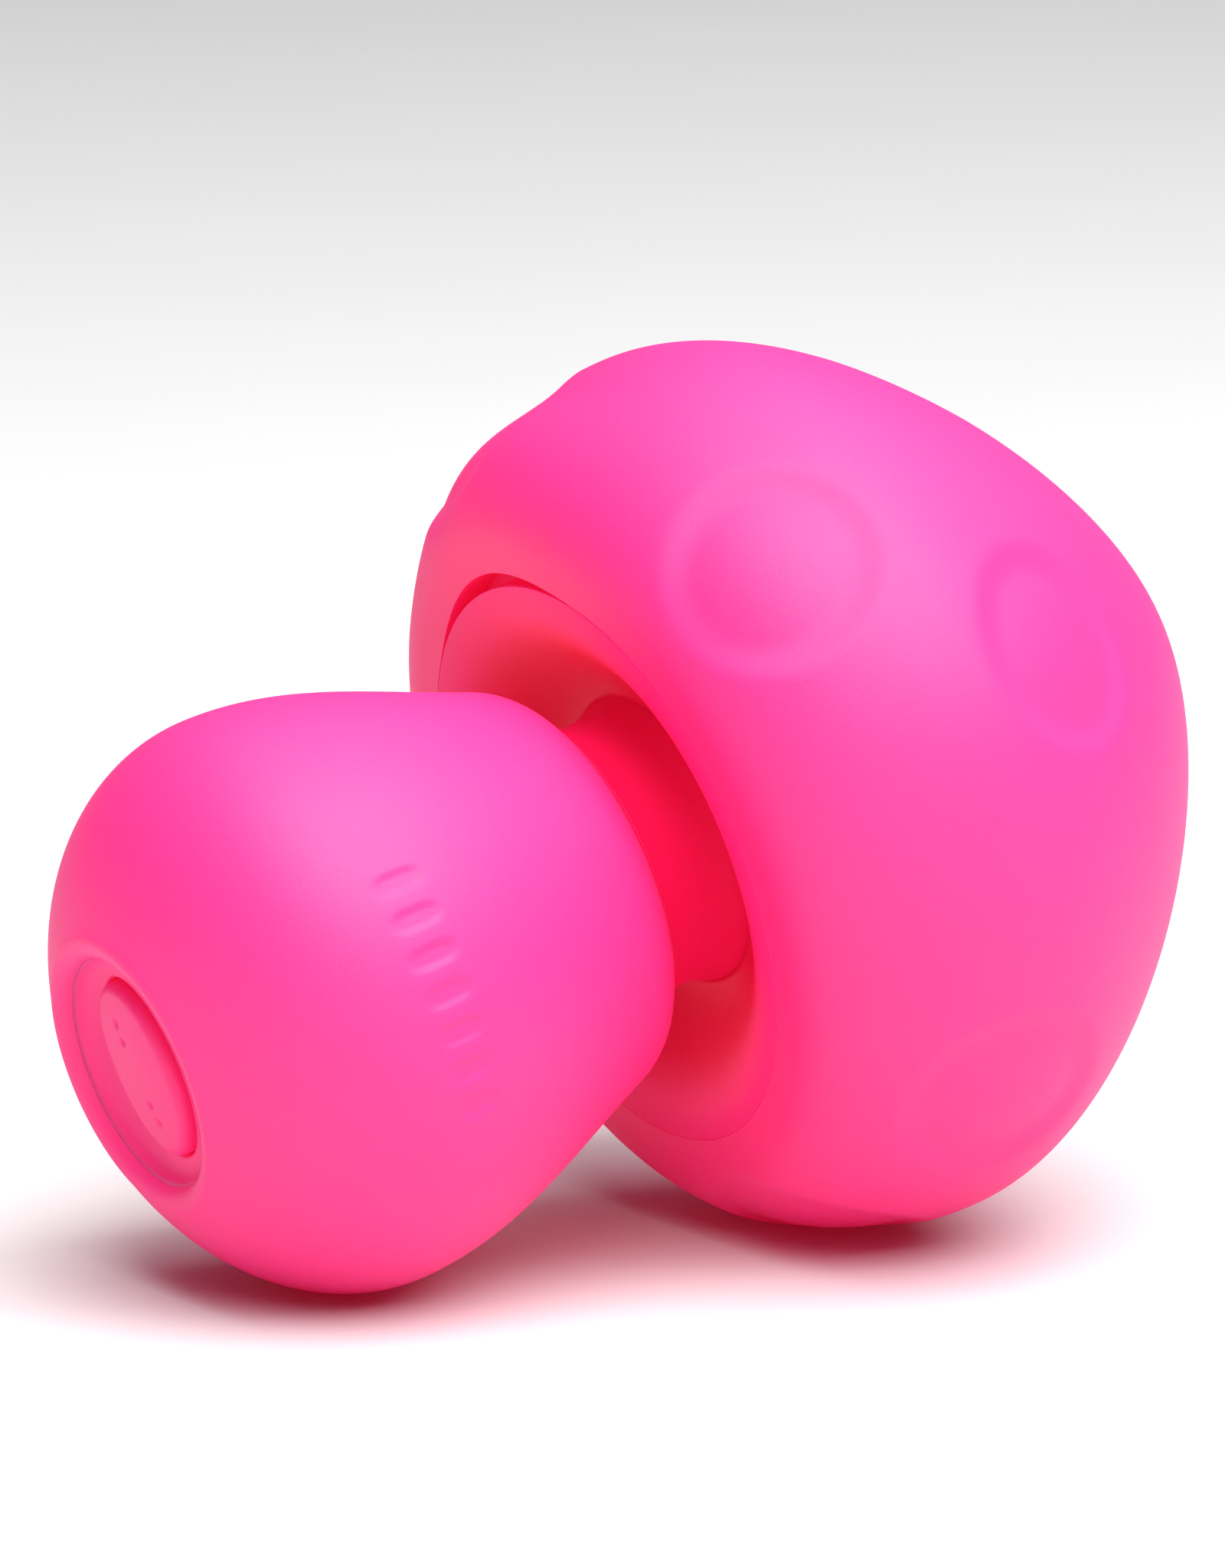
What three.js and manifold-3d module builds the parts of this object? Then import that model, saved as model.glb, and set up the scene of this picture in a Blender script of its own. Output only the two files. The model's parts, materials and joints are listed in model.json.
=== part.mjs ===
// A pocket-size handheld massager in the shape of a mushroom: a silicone bulb that fills the
// palm, a narrow soft neck, and a round dented cap, shaken by a motor with an eccentric weight.
//
// Millimetres, +Z up. Every piece is drawn upright, round one long axis: height 0 is the rim of
// the stem end and the tip of the cap is highest. The assembly is then laid on its side, so that
// it rests on the bellies of the bulb and the cap, with its stem end at -X and its cap at +X.

import * as THREE from "three";
import { mergeVertices } from "three/addons/utils/BufferGeometryUtils.js";
import Module from "manifold-3d";

// ---- Driving dimensions -----------------------------------------------------------------

// Outside of the stem
const BULB_RADIUS = 17.7;
const BULB_END_LENGTH = 11.9; // from the rim of the stem end to the widest place
const BULB_END_REACH = 13.4; // half-length of the ellipse that shapes the stem end
const BULB_TAPER_LENGTH = 25.2; // from the widest place to where the taper would run out
const BULB_TAPER_RADIUS = 11.2; // that the taper would run out to
const SHOULDER_HEIGHT = 31.2; // top of the bulb
const SHOULDER_ROUND = 3.0;
const NECK_RADIUS = 8.8;
const NECK_WAIST = 0.4; // the neck is this much slimmer half way up

// Round well in the stem end, and the oval pad in it
const WELL_RADIUS = 7.1;
const WELL_DEPTH = 1.5;
const WELL_SLOPE = 0.3; // the well's wall is this much wider at the rim
const RIM_LAND = 0.6; // width of the flat on the rim
const PAD_HALF_LENGTH = 5.45;
const PAD_HALF_WIDTH = 3.65;
const PAD_BELOW_RIM = 0.55;
const PAD_EDGE = 0.45; // chamfer round the pad's face
const PAD_TRAVEL = 0.6;
const PAD_TURN = -19.4; // degrees round the long axis

// Outside of the cap
const LIP_ABOVE_SHOULDER = 2.2; // room between the bulb and the cap
const LIP_RADIUS = 19.4; // crest of the rounded lip
const CAP_RADIUS = 27.7;
const CAP_SKIRT = 13.1; // from the crest of the lip to the widest place
const CAP_DOME = 26.6; // from the widest place to the tip
const MOUTH_RADIUS = 17.7; // opening that the collar fills

// Shallow round dents in the cap: height above the lip's crest and turn round the axis
const DENT_RADIUS = 6.2;
const DENT_DEPTH = 1.0;
const DENTS = [
  [6.2, -137.5],
  [20.7, -112.6],
  [9.9, -56.4],
  [6.1, 152],
  [27.3, 175],
  [4.2, -15],
  [11.4, 42],
  [8, 97],
  [23.2, 58],
];

// Walls and gaps
const STEM_SKIN = 1.8;
const CAP_SKIN = 2.2;
const STEM_SHELL = 1.5;
const HEAD_SHELL = 1.8;
const GAP = 0.3; // between pieces that touch
const PLUNGER_GAP = PAD_TRAVEL / 2 + 0.05; // free travel before the pad meets the switches

// Inside the stem
const WELL_FLOOR = 1.2;
const END_PLATE = 1.5;
const SHELL_LIP = 1.4; // thickness of the shell's inward lip, which holds the neck's core
const BOARD_SPACE = 3.1; // between the end plate and the board, for the switches
const BOARD = 1.0;
const BOARD_GAP = 0.6; // between the board's edge and the shell
const BOSS_RADIUS = 1.8;
const BOSS_WEB = 1.2;
const BOSS_WEB_HEIGHT = 2.6;
const STEM_SCREW_HEAD = 1.5;
const STEM_SCREW_HEAD_DEPTH = 0.5;
const STEM_SCREW_SHANK = 0.8;
const PILOT_ROOF = 0.6; // left above a pilot hole
const SWITCH_HEIGHT = 1.7;
const SWITCH_WIDTH = 3.6;
const SWITCH_SPACING = 6.4;
const PLUNGER_RADIUS = 0.8;
const PLUNGER_HEIGHT = 1.5;
const BATTERY_RADIUS = 5.0;
const BATTERY_LENGTH = 13;
const BATTERY_NIPPLE = 1.6;
const BATTERY_NIPPLE_HEIGHT = 0.5;
const SOCKET_WIDTH = 3.2;
const SOCKET_LENGTH = 5.0;
const LEAD_RADIUS = 0.5;

// Neck
const CORE_RADIUS = 6.4;
const CORE_BORE = 2.4;
const CORE_FLANGE = 1.5; // height and overhang of the flanges that hold the core in both shells
const COLLAR_DEPTH = 3.2; // from the inside of the cap's lip to the top of the collar
const COLLAR_WALL = 1.2; // where the collar meets the neck
const COLLAR_ROLL = 4.2; // pull on its face's curve next to the lip
const COLLAR_FLOOR = 2.5; // pull on its face's curve next to the neck
const FLANGE_RISE = 1.6; // slope of the collar's flange

// Inside the head
const MOTOR_RADIUS = 7.5;
const MOTOR_LENGTH = 12.8;
const MOTOR_WALL = 0.8;
const MOTOR_BACK = 2.4;
const MOTOR_PLUG = 0.9; // of the back inside the can
const BACK_HOLE = 1.4; // depth of the blind hole for the shaft
const MAGNET = 0.9;
const BUSH_RADIUS = 2.5;
const BUSH_INSIDE = 2.0; // length inside the can
const BUSH_PROUD = 0.8; // length outside it
const ROTOR_GAP = 0.8; // at each end of what spins
const SHAFT_RADIUS = 0.8;
const SHAFT_GAP = 0.2;
const WEIGHT_RADIUS = 6.0;
const WEIGHT_LENGTH = 4.6;
const CRADLE_WALL = 2.0;
const CRADLE_HEIGHT = 7.0;
const CRADLE_FLANGE = 1.6;
const HEAD_BOSS_RADIUS = 2.7;
const HEAD_SCREW_BITE = 6;
const SCREW_HEAD_DEPTH = 1.3;
const SCREW_SHANK = 1.1;
const SCREW_HEAD = 2.0;

// Smoothness: sides of a turned piece
const SKIN_SIDES = 32;
const SHELL_SIDES = 20;
const SMALL_SIDES = 12;

// ---- Heights that follow from them -------------------------------------------------------

const LIP_HEIGHT = SHOULDER_HEIGHT + LIP_ABOVE_SHOULDER;
const CAP_WIDEST = LIP_HEIGHT + CAP_SKIRT;
const TIP_HEIGHT = CAP_WIDEST + CAP_DOME;

const wasm = await Module();
wasm.setup();

// ---- Outlines: lists of points (distance from the axis, height) --------------------------

const at = (radius, height) => new THREE.Vector2(radius, height);

// The stem from the rim up: an ellipse to the widest place, then a raised cosine.
function stemOutline(steps = 9) {
  const rim = Math.asin(BULB_END_LENGTH / BULB_END_REACH);
  const points = [];
  for (let i = 0; i <= steps; i++) {
    const angle = rim * (1 - i / steps);
    const height = BULB_END_LENGTH - BULB_END_REACH * Math.sin(angle);
    points.push(at(BULB_RADIUS * Math.cos(angle), height));
  }
  for (let i = 1; i <= steps; i++) {
    const share = i / steps;
    const swell = Math.cos((Math.PI / 2) * share) ** 2;
    const radius = BULB_TAPER_RADIUS + (BULB_RADIUS - BULB_TAPER_RADIUS) * swell;
    points.push(at(radius, BULB_END_LENGTH + BULB_TAPER_LENGTH * share));
  }
  return points;
}

// The cap from the crest of its lip up: two cubic curves that meet at the widest place.
function capOutline(skirtSteps = 6, domeSteps = 11) {
  const skirt = new THREE.CubicBezierCurve(
    at(LIP_RADIUS, LIP_HEIGHT),
    at(LIP_RADIUS + 0.51 * (CAP_RADIUS - LIP_RADIUS), LIP_HEIGHT),
    at(CAP_RADIUS, CAP_WIDEST - 0.52 * CAP_SKIRT),
    at(CAP_RADIUS, CAP_WIDEST),
  );
  const dome = new THREE.CubicBezierCurve(
    at(CAP_RADIUS, CAP_WIDEST),
    at(CAP_RADIUS, CAP_WIDEST + 0.4 * CAP_DOME),
    at(0.32 * CAP_RADIUS, TIP_HEIGHT),
    at(0, TIP_HEIGHT),
  );
  return [...skirt.getPoints(skirtSteps), ...dome.getPoints(domeSteps).slice(1)];
}

// An outline that runs upwards, moved towards the axis by a wall's thickness.
function inset(outline, depth) {
  const moved = [];
  outline.forEach((point, i) => {
    const before = outline[Math.max(i - 1, 0)];
    const after = outline[Math.min(i + 1, outline.length - 1)];
    const along = after.clone().sub(before).normalize();
    const next = at(point.x - depth * along.y, point.y + depth * along.x);
    if (point.x === 0) next.set(0, point.y - depth);
    const last = moved[moved.length - 1];
    if (next.x >= 0 && (!last || next.y > last.y + 0.02)) moved.push(next);
  });
  return moved;
}

// How far an upward outline is from the axis at a height.
function widthAt(outline, height) {
  const i = outline.findIndex((point) => point.y >= height);
  if (i < 0) return outline[outline.length - 1].x;
  if (i === 0) return outline[0].x;
  const low = outline[i - 1];
  const high = outline[i];
  return low.x + ((high.x - low.x) * (height - low.y)) / (high.y - low.y);
}

// The part of an upward outline between two heights, with a point at each end.
function between(outline, low, high) {
  const inside = outline.filter((point) => point.y > low + 0.05 && point.y < high - 0.05);
  return [at(widthAt(outline, low), low), ...inside, at(widthAt(outline, high), high)];
}

// ---- Solids ------------------------------------------------------------------------------

function solidOf(geometry) {
  const bare = geometry.index ? geometry.toNonIndexed() : geometry.clone();
  bare.deleteAttribute("normal");
  bare.deleteAttribute("uv");
  const merged = mergeVertices(bare, 1e-4);
  return new wasm.Manifold(
    new wasm.Mesh({
      numProp: 3,
      vertProperties: merged.attributes.position.array,
      triVerts: new Uint32Array(merged.index.array),
    }),
  );
}

function geometryOf(solid) {
  const mesh = solid.getMesh();
  const geometry = new THREE.BufferGeometry();
  geometry.setAttribute("position", new THREE.BufferAttribute(mesh.vertProperties, 3));
  geometry.setIndex(new THREE.BufferAttribute(mesh.triVerts, 1));
  geometry.computeVertexNormals();
  return geometry;
}

// Turns a closed outline round the long axis, whichever way round its points run.
function turned(points, sides) {
  const area = points.reduce((sum, point, i) => {
    const next = points[(i + 1) % points.length];
    return sum + point.x * next.y - next.x * point.y;
  }, 0);
  const outline = area > 0 ? [...points] : [...points].reverse();
  const touchesAxis = outline[0].x === 0 && outline[outline.length - 1].x === 0;
  if (!touchesAxis) outline.push(outline[0].clone());
  // a flat, not an edge, faces +X
  return new THREE.LatheGeometry(outline, sides, Math.PI / sides).rotateX(Math.PI / 2);
}

// An outline that reaches the axis, started so that its first and last points lie on it.
function turnedFromAxis(points, sides) {
  const last = points.length - 1;
  const start = points.findIndex((point, i) => {
    return point.x === 0 && points[i === 0 ? last : i - 1].x === 0;
  });
  const outline = [...points.slice(start), ...points.slice(0, start)];
  return turned(outline, sides);
}

function ring(outer, inner, low, high, sides) {
  return turned([at(inner, low), at(outer, low), at(outer, high), at(inner, high)], sides);
}

function rod(radius, low, high, x = 0, y = 0, sides = SMALL_SIDES) {
  const geometry = new THREE.CylinderGeometry(radius, radius, high - low, sides);
  return geometry.rotateX(Math.PI / 2).translate(x, y, (low + high) / 2);
}

function block(width, depth, low, high, x = 0, y = 0) {
  return new THREE.BoxGeometry(width, depth, high - low).translate(x, y, (low + high) / 2);
}

function oval(halfLength, halfWidth, low, high, sides = 12) {
  const shape = new THREE.Shape();
  shape.absellipse(0, 0, halfLength, halfWidth, 0, 2 * Math.PI, false, 0);
  const options = { depth: high - low, bevelEnabled: false, curveSegments: sides };
  return new THREE.ExtrudeGeometry(shape, options).translate(0, 0, low);
}

const cut = (body, ...tools) => {
  const solids = tools.map((tool) => solidOf(tool));
  return geometryOf(solids.reduce((left, tool) => left.subtract(tool), solidOf(body)));
};

const join = (...bodies) => {
  const [first, ...rest] = bodies.map((body) => solidOf(body));
  return geometryOf(rest.reduce((sum, body) => sum.add(body), first));
};

const keep = (body, region) => geometryOf(solidOf(body).intersect(solidOf(region)));

// ---- Materials ---------------------------------------------------------------------------

const finish = (color, roughness, metalness = 0) =>
  new THREE.MeshStandardMaterial({ color, roughness, metalness });

const PINK_SILICONE = finish("#ff4f9c", 0.55);
const PINK_PLASTIC = finish("#e0407f", 0.45);
const WHITE_PLASTIC = finish("#e9e7e2", 0.45);
const BLACK_RUBBER = finish("#2a2a2c", 0.8);
const GREEN_BOARD = finish("#1f6b3a", 0.5);
const BLACK_PLASTIC = finish("#222225", 0.5);
const BATTERY_WRAP = finish("#3b6fb6", 0.4);
const STEEL = finish("#b9bcc0", 0.35, 1);
const BRASS = finish("#c9a24a", 0.35, 1);
const COPPER = finish("#a85f3a", 0.4, 1);
const MAGNET_GREY = finish("#4c4d50", 0.6, 0.4);
const RED_WIRE = finish("#c22222", 0.5);
const BLACK_WIRE = finish("#1a1a1a", 0.5);

// ---- The assembly ------------------------------------------------------------------------

const massager = new THREE.Group();
const upright = new THREE.Group(); // drawn along +Z, before it is laid down
const withPad = new THREE.Group(); // what lines up with the oval pad
massager.add(upright);
upright.add(withPad);
const padTurn = THREE.MathUtils.degToRad(PAD_TURN);
withPad.rotation.z = padTurn;

function add(group, name, geometry, material) {
  const mesh = new THREE.Mesh(geometry, material);
  mesh.name = name;
  group.add(mesh);
  return mesh;
}

const stem = stemOutline();
const stemLining = stemOutline(6);
const stemInside = inset(stemLining, STEM_SKIN);
const shellOutside = inset(stemLining, STEM_SKIN + GAP);
const shellInside = inset(stemLining, STEM_SKIN + GAP + STEM_SHELL);

const floorInside = WELL_DEPTH + WELL_FLOOR;
const plateLow = floorInside + GAP;
const plateHigh = plateLow + END_PLATE;
const shellLow = plateHigh + GAP;
const skinTopInside = SHOULDER_HEIGHT - STEM_SKIN;
const shellTop = skinTopInside - GAP;
const coreLow = shellTop - SHELL_LIP - GAP - CORE_FLANGE;

// The bulb's skin: round well in the end, with an oval window for the pad in its floor, and
// a rounded shoulder at the top that turns in over the shell.
function stemSkin() {
  const shoulderLow = SHOULDER_HEIGHT - SHOULDER_ROUND;
  const shoulderRadius = widthAt(stem, shoulderLow) - SHOULDER_ROUND;
  const shoulder = [22.5, 45, 67.5, 90].map((degrees) => {
    const angle = THREE.MathUtils.degToRad(degrees);
    const radius = shoulderRadius + SHOULDER_ROUND * Math.cos(angle);
    return at(radius, shoulderLow + SHOULDER_ROUND * Math.sin(angle));
  });
  const outside = between(stem, 0.45, shoulderLow);
  const inside = between(stemInside, floorInside, skinTopInside).reverse();
  const body = turnedFromAxis(
    [
      at(0, WELL_DEPTH),
      at(WELL_RADIUS - WELL_SLOPE, WELL_DEPTH),
      at(WELL_RADIUS, WELL_DEPTH - WELL_SLOPE),
      at(WELL_RADIUS, WELL_SLOPE),
      at(WELL_RADIUS + WELL_SLOPE, 0),
      at(WELL_RADIUS + WELL_SLOPE + RIM_LAND, 0),
      ...outside,
      ...shoulder,
      at(NECK_RADIUS + GAP, SHOULDER_HEIGHT),
      at(NECK_RADIUS + GAP, skinTopInside),
      ...inside,
      at(0, floorInside),
    ],
    SKIN_SIDES,
  );
  const window = oval(PAD_HALF_LENGTH + GAP, PAD_HALF_WIDTH + GAP, 0, floorInside + 1);
  return cut(body, window.rotateZ(padTurn));
}

const plateRadius = widthAt(shellOutside, plateLow);
const windowLength = PAD_HALF_LENGTH + 0.5;
const windowWidth = PAD_HALF_WIDTH + 0.5;
const stemScrewPlace = (windowWidth + plateRadius) / 2 + 0.2;
const boardLow = shellLow + BOARD_SPACE;
const boardHigh = boardLow + BOARD;
const bossTop = boardHigh;

// One half of the stem's shell, with the boss that its screw bites into.
function stemShellHalf(side) {
  const outside = between(shellOutside, shellLow, shellTop);
  const inside = between(shellInside, shellLow, shellTop - SHELL_LIP).reverse();
  const lip = [at(CORE_RADIUS + GAP, shellTop), at(CORE_RADIUS + GAP, shellTop - SHELL_LIP)];
  const whole = turned([...outside, ...lip, ...inside], SHELL_SIDES);
  const reach = 2 * BULB_RADIUS;
  const half = block(2 * reach, reach, 0, SHOULDER_HEIGHT, 0, side * (reach / 2 + GAP / 2));
  const place = side * stemScrewPlace;
  const webLow = bossTop - BOSS_WEB_HEIGHT;
  const wallPlace = side * (widthAt(shellInside, webLow) + STEM_SHELL / 2);
  const boss = rod(BOSS_RADIUS, shellLow, bossTop, 0, place);
  const webMiddle = (wallPlace + place) / 2;
  const web = block(BOSS_WEB, Math.abs(wallPlace - place), webLow, bossTop, 0, webMiddle);
  const pilot = rod(STEM_SCREW_SHANK + GAP, shellLow - 1, bossTop - PILOT_ROOF, 0, place);
  return cut(join(keep(whole, half), boss, web), pilot);
}

// Closes the shell behind the well; the pad's actuator works through its oval window.
function endPlate() {
  const disc = rod(plateRadius, plateLow, plateHigh, 0, 0, SHELL_SIDES);
  const window = oval(windowLength, windowWidth, plateLow - 1, plateHigh + 1);
  const sinkHigh = plateLow + STEM_SCREW_HEAD_DEPTH + GAP;
  const holes = [-1, 1].flatMap((side) => [
    rod(STEM_SCREW_SHANK + GAP, plateLow - 1, plateHigh + 1, 0, side * stemScrewPlace),
    rod(STEM_SCREW_HEAD + GAP, plateLow - 1, sinkHigh, 0, side * stemScrewPlace),
  ]);
  return cut(disc, window, ...holes);
}

function stemScrew(side) {
  const place = side * stemScrewPlace;
  const headHigh = plateLow + STEM_SCREW_HEAD_DEPTH;
  const head = rod(STEM_SCREW_HEAD, plateLow, headHigh, 0, place);
  const shankHigh = bossTop - PILOT_ROOF - GAP;
  const shank = rod(STEM_SCREW_SHANK, headHigh - 0.2, shankHigh, 0, place);
  const slotHigh = plateLow + STEM_SCREW_HEAD_DEPTH / 2;
  const slot = block(0.4, 2, plateLow - 0.1, slotHigh, 0, place);
  return cut(join(head, shank), slot);
}

add(upright, "stem_skin", stemSkin(), PINK_SILICONE);
add(withPad, "stem_shell_left", stemShellHalf(1), PINK_PLASTIC);
add(withPad, "stem_shell_right", stemShellHalf(-1), PINK_PLASTIC);
add(withPad, "end_plate", endPlate(), PINK_PLASTIC);
add(withPad, "stem_screw_1", stemScrew(1), STEEL);
add(withPad, "stem_screw_2", stemScrew(-1), STEEL);

// The oval pad goes through the well's floor and is stiffened by the actuator behind it.
const actuatorLow = plateLow;
const actuatorHigh = plateHigh - 0.5;

function buttonPad() {
  const edgeHigh = PAD_BELOW_RIM + PAD_EDGE;
  const base = oval(PAD_HALF_LENGTH, PAD_HALF_WIDTH, edgeHigh, actuatorLow - GAP);
  const faceLength = PAD_HALF_LENGTH - PAD_EDGE;
  const face = oval(faceLength, PAD_HALF_WIDTH - PAD_EDGE, PAD_BELOW_RIM, edgeHigh + 0.5);
  return join(base, face);
}

add(withPad, "button_pad", buttonPad(), PINK_SILICONE);
const actuatorPlate = oval(PAD_HALF_LENGTH, PAD_HALF_WIDTH, actuatorLow, actuatorHigh);
add(withPad, "button_actuator", actuatorPlate, WHITE_PLASTIC);

// One push switch under each end of the pad, on the board.
const switchHigh = boardLow - GAP;
const switchLow = switchHigh - SWITCH_HEIGHT;
const plungerLow = actuatorHigh + PLUNGER_GAP;
const plungerHigh = plungerLow + PLUNGER_HEIGHT;
[1, 2].forEach((number) => {
  const x = (number === 1 ? -1 : 1) * (SWITCH_SPACING / 2);
  const box = block(SWITCH_WIDTH, SWITCH_WIDTH, switchLow, switchHigh, x);
  const bore = rod(PLUNGER_RADIUS + GAP, switchLow - 1, plungerHigh + 0.5, x);
  add(withPad, `switch_body_${number}`, cut(box, bore), BLACK_PLASTIC);
  const plunger = rod(PLUNGER_RADIUS, plungerLow, plungerHigh, x);
  add(withPad, `switch_plunger_${number}`, plunger, WHITE_PLASTIC);
});

// The board is round, with a notch for each boss. The charge socket stands behind it.
const boardRadius = widthAt(shellInside, boardLow) - BOARD_GAP;
const notches = [-1, 1].map((side) =>
  rod(BOSS_RADIUS + GAP, boardLow - 1, boardHigh + 1, 0, side * stemScrewPlace),
);
const outerNotches = [-1, 1].map((side) =>
  block(
    2 * (BOSS_RADIUS + GAP),
    boardRadius,
    boardLow - 1,
    boardHigh + 1,
    0,
    side * (stemScrewPlace + boardRadius / 2),
  ),
);
const board = rod(boardRadius, boardLow, boardHigh, 0, 0, SHELL_SIDES);
add(withPad, "circuit_board", cut(board, ...notches, ...outerNotches), GREEN_BOARD);

const batteryLow = boardHigh + GAP;
const batteryHigh = batteryLow + BATTERY_LENGTH;
const batteryShoulder = batteryHigh - BATTERY_NIPPLE_HEIGHT;
const battery = turnedFromAxis(
  [
    at(0, batteryLow),
    at(BATTERY_RADIUS - 0.4, batteryLow),
    at(BATTERY_RADIUS, batteryLow + 0.4),
    at(BATTERY_RADIUS, batteryShoulder - 0.4),
    at(BATTERY_RADIUS - 0.4, batteryShoulder),
    at(BATTERY_NIPPLE, batteryShoulder),
    at(BATTERY_NIPPLE, batteryHigh),
    at(0, batteryHigh),
  ],
  20,
);
add(withPad, "battery", battery, BATTERY_WRAP);

const socketPlace = BATTERY_RADIUS + GAP + SOCKET_WIDTH / 2 + 0.2;
const socketHigh = batteryLow + SOCKET_LENGTH;
const socketBlock = block(SOCKET_WIDTH, SOCKET_WIDTH, batteryLow, socketHigh, socketPlace);
const socketBore = rod(0.6, batteryLow + 1, socketHigh + 1, socketPlace, 0, 10);
const socket = cut(socketBlock, socketBore).rotateZ(Math.PI / 4);
add(withPad, "charge_socket", socket, BLACK_PLASTIC);

// ---- Neck --------------------------------------------------------------------------------

const cap = capOutline();
const capLining = capOutline(4, 7);
const capInside = inset(capLining, CAP_SKIN);
const lipInside = LIP_HEIGHT + CAP_SKIN;
const collarHigh = lipInside + COLLAR_DEPTH;
const basePlateLow = collarHigh + GAP;
const basePlateHigh = basePlateLow + HEAD_SHELL;
const coreHigh = basePlateHigh + GAP + CORE_FLANGE;

// The rubber core is a thick tube, held by a flange in each shell. Its bore passes the leads.
const coreFlangeRadius = CORE_RADIUS + CORE_FLANGE;
const neckCore = turned(
  [
    at(CORE_BORE, coreLow),
    at(coreFlangeRadius, coreLow),
    at(coreFlangeRadius, coreLow + CORE_FLANGE),
    at(CORE_RADIUS, coreLow + CORE_FLANGE),
    at(CORE_RADIUS, SHOULDER_HEIGHT + 1),
    at(CORE_RADIUS - 1, SHOULDER_HEIGHT + 2),
    at(CORE_RADIUS - 1, collarHigh - 2),
    at(CORE_RADIUS, collarHigh - 1),
    at(CORE_RADIUS, coreHigh - CORE_FLANGE),
    at(coreFlangeRadius, coreHigh - CORE_FLANGE),
    at(coreFlangeRadius, coreHigh),
    at(CORE_BORE, coreHigh),
  ],
  16,
);
add(upright, "neck_core", neckCore, BLACK_RUBBER);

// The neck's skin is a sleeve round the core, from inside the bulb's top to inside the collar.
const neckLow = shellTop + GAP;
const neckMiddle = (SHOULDER_HEIGHT + collarHigh) / 2;
const neckSkin = turned(
  [
    at(NECK_RADIUS - STEM_SKIN, neckLow),
    at(NECK_RADIUS, neckLow),
    at(NECK_RADIUS, SHOULDER_HEIGHT),
    at(NECK_RADIUS - NECK_WAIST, neckMiddle),
    at(NECK_RADIUS, collarHigh - 1),
    at(NECK_RADIUS, collarHigh),
    at(NECK_RADIUS - STEM_SKIN, collarHigh),
  ],
  SKIN_SIDES,
);
add(upright, "neck_skin", neckSkin, PINK_SILICONE);

// Two leads run beside the battery, through the core and up to the motor.
const leadPlace = BATTERY_RADIUS + GAP + LEAD_RADIUS + 0.3;
const leadTop = coreHigh + 0.6;
const leadMiddle = (batteryHigh + coreLow) / 2;
const leadPath = (side) =>
  new THREE.CatmullRomCurve3(
    [
      [leadPlace, batteryLow + 0.2],
      [leadPlace, (batteryLow + batteryHigh) / 2],
      [leadPlace, batteryHigh - 1.2],
      [leadPlace - 0.6, leadMiddle - 0.5],
      [leadPlace / 2 + 0.6, leadMiddle + 0.1],
      [1.5, coreLow - 0.2],
      [1.1, coreLow + 1.5],
      [1.1, (coreLow + leadTop) / 2],
      [1.1, leadTop],
    ].map(([radius, height]) => new THREE.Vector3(side * radius, 0, height)),
  );

function lead(side) {
  const section = new THREE.Shape();
  section.absarc(0, 0, LEAD_RADIUS, 0, 2 * Math.PI);
  const options = { steps: 16, curveSegments: 4, bevelEnabled: false, extrudePath: leadPath(side) };
  return new THREE.ExtrudeGeometry(section, options);
}

add(withPad, "motor_lead_red", lead(1), RED_WIRE);
add(withPad, "motor_lead_black", lead(-1), BLACK_WIRE);

// ---- Head --------------------------------------------------------------------------------

// The cap's skin: a soft hood with a rolled lip, and shallow round dents all over.
function capSkin() {
  const outside = cap.filter((point) => point.y > LIP_HEIGHT + 0.3);
  const inside = capInside.filter((point) => point.y > lipInside + 0.3).reverse();
  const body = turnedFromAxis(
    [
      at(MOUTH_RADIUS, LIP_HEIGHT + 1.5),
      at(MOUTH_RADIUS + 0.5, LIP_HEIGHT + 0.6),
      at(LIP_RADIUS - 1, LIP_HEIGHT + 0.1),
      at(LIP_RADIUS, LIP_HEIGHT),
      ...outside,
      ...inside,
      at(LIP_RADIUS, lipInside),
      at(MOUTH_RADIUS, lipInside),
    ],
    SKIN_SIDES,
  );
  return cut(body, ...DENTS.map(([height, turn]) => dentCutter(height, turn)));
}

// A round stamp pressed square into the cap: a ring groove round a slightly domed floor.
function dentCutter(height, turn) {
  const stamp = turnedFromAxis(
    [
      at(0, -0.35 * DENT_DEPTH),
      at(0.5 * DENT_RADIUS, -0.55 * DENT_DEPTH),
      at(0.86 * DENT_RADIUS, -DENT_DEPTH),
      at(DENT_RADIUS, -0.5 * DENT_DEPTH),
      at(1.05 * DENT_RADIUS, 4),
      at(0, 4),
    ],
    16,
  );
  const level = LIP_HEIGHT + height;
  const radius = widthAt(cap, level);
  const along = at(widthAt(cap, level + 0.5), level + 0.5).sub(
    at(widthAt(cap, level - 0.5), level - 0.5),
  );
  const lean = Math.atan2(along.y, -along.x);
  stamp.rotateY(lean);
  stamp.translate(radius, 0, level);
  return stamp.rotateZ(THREE.MathUtils.degToRad(turn));
}

add(upright, "cap_skin", capSkin(), PINK_SILICONE);

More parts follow.
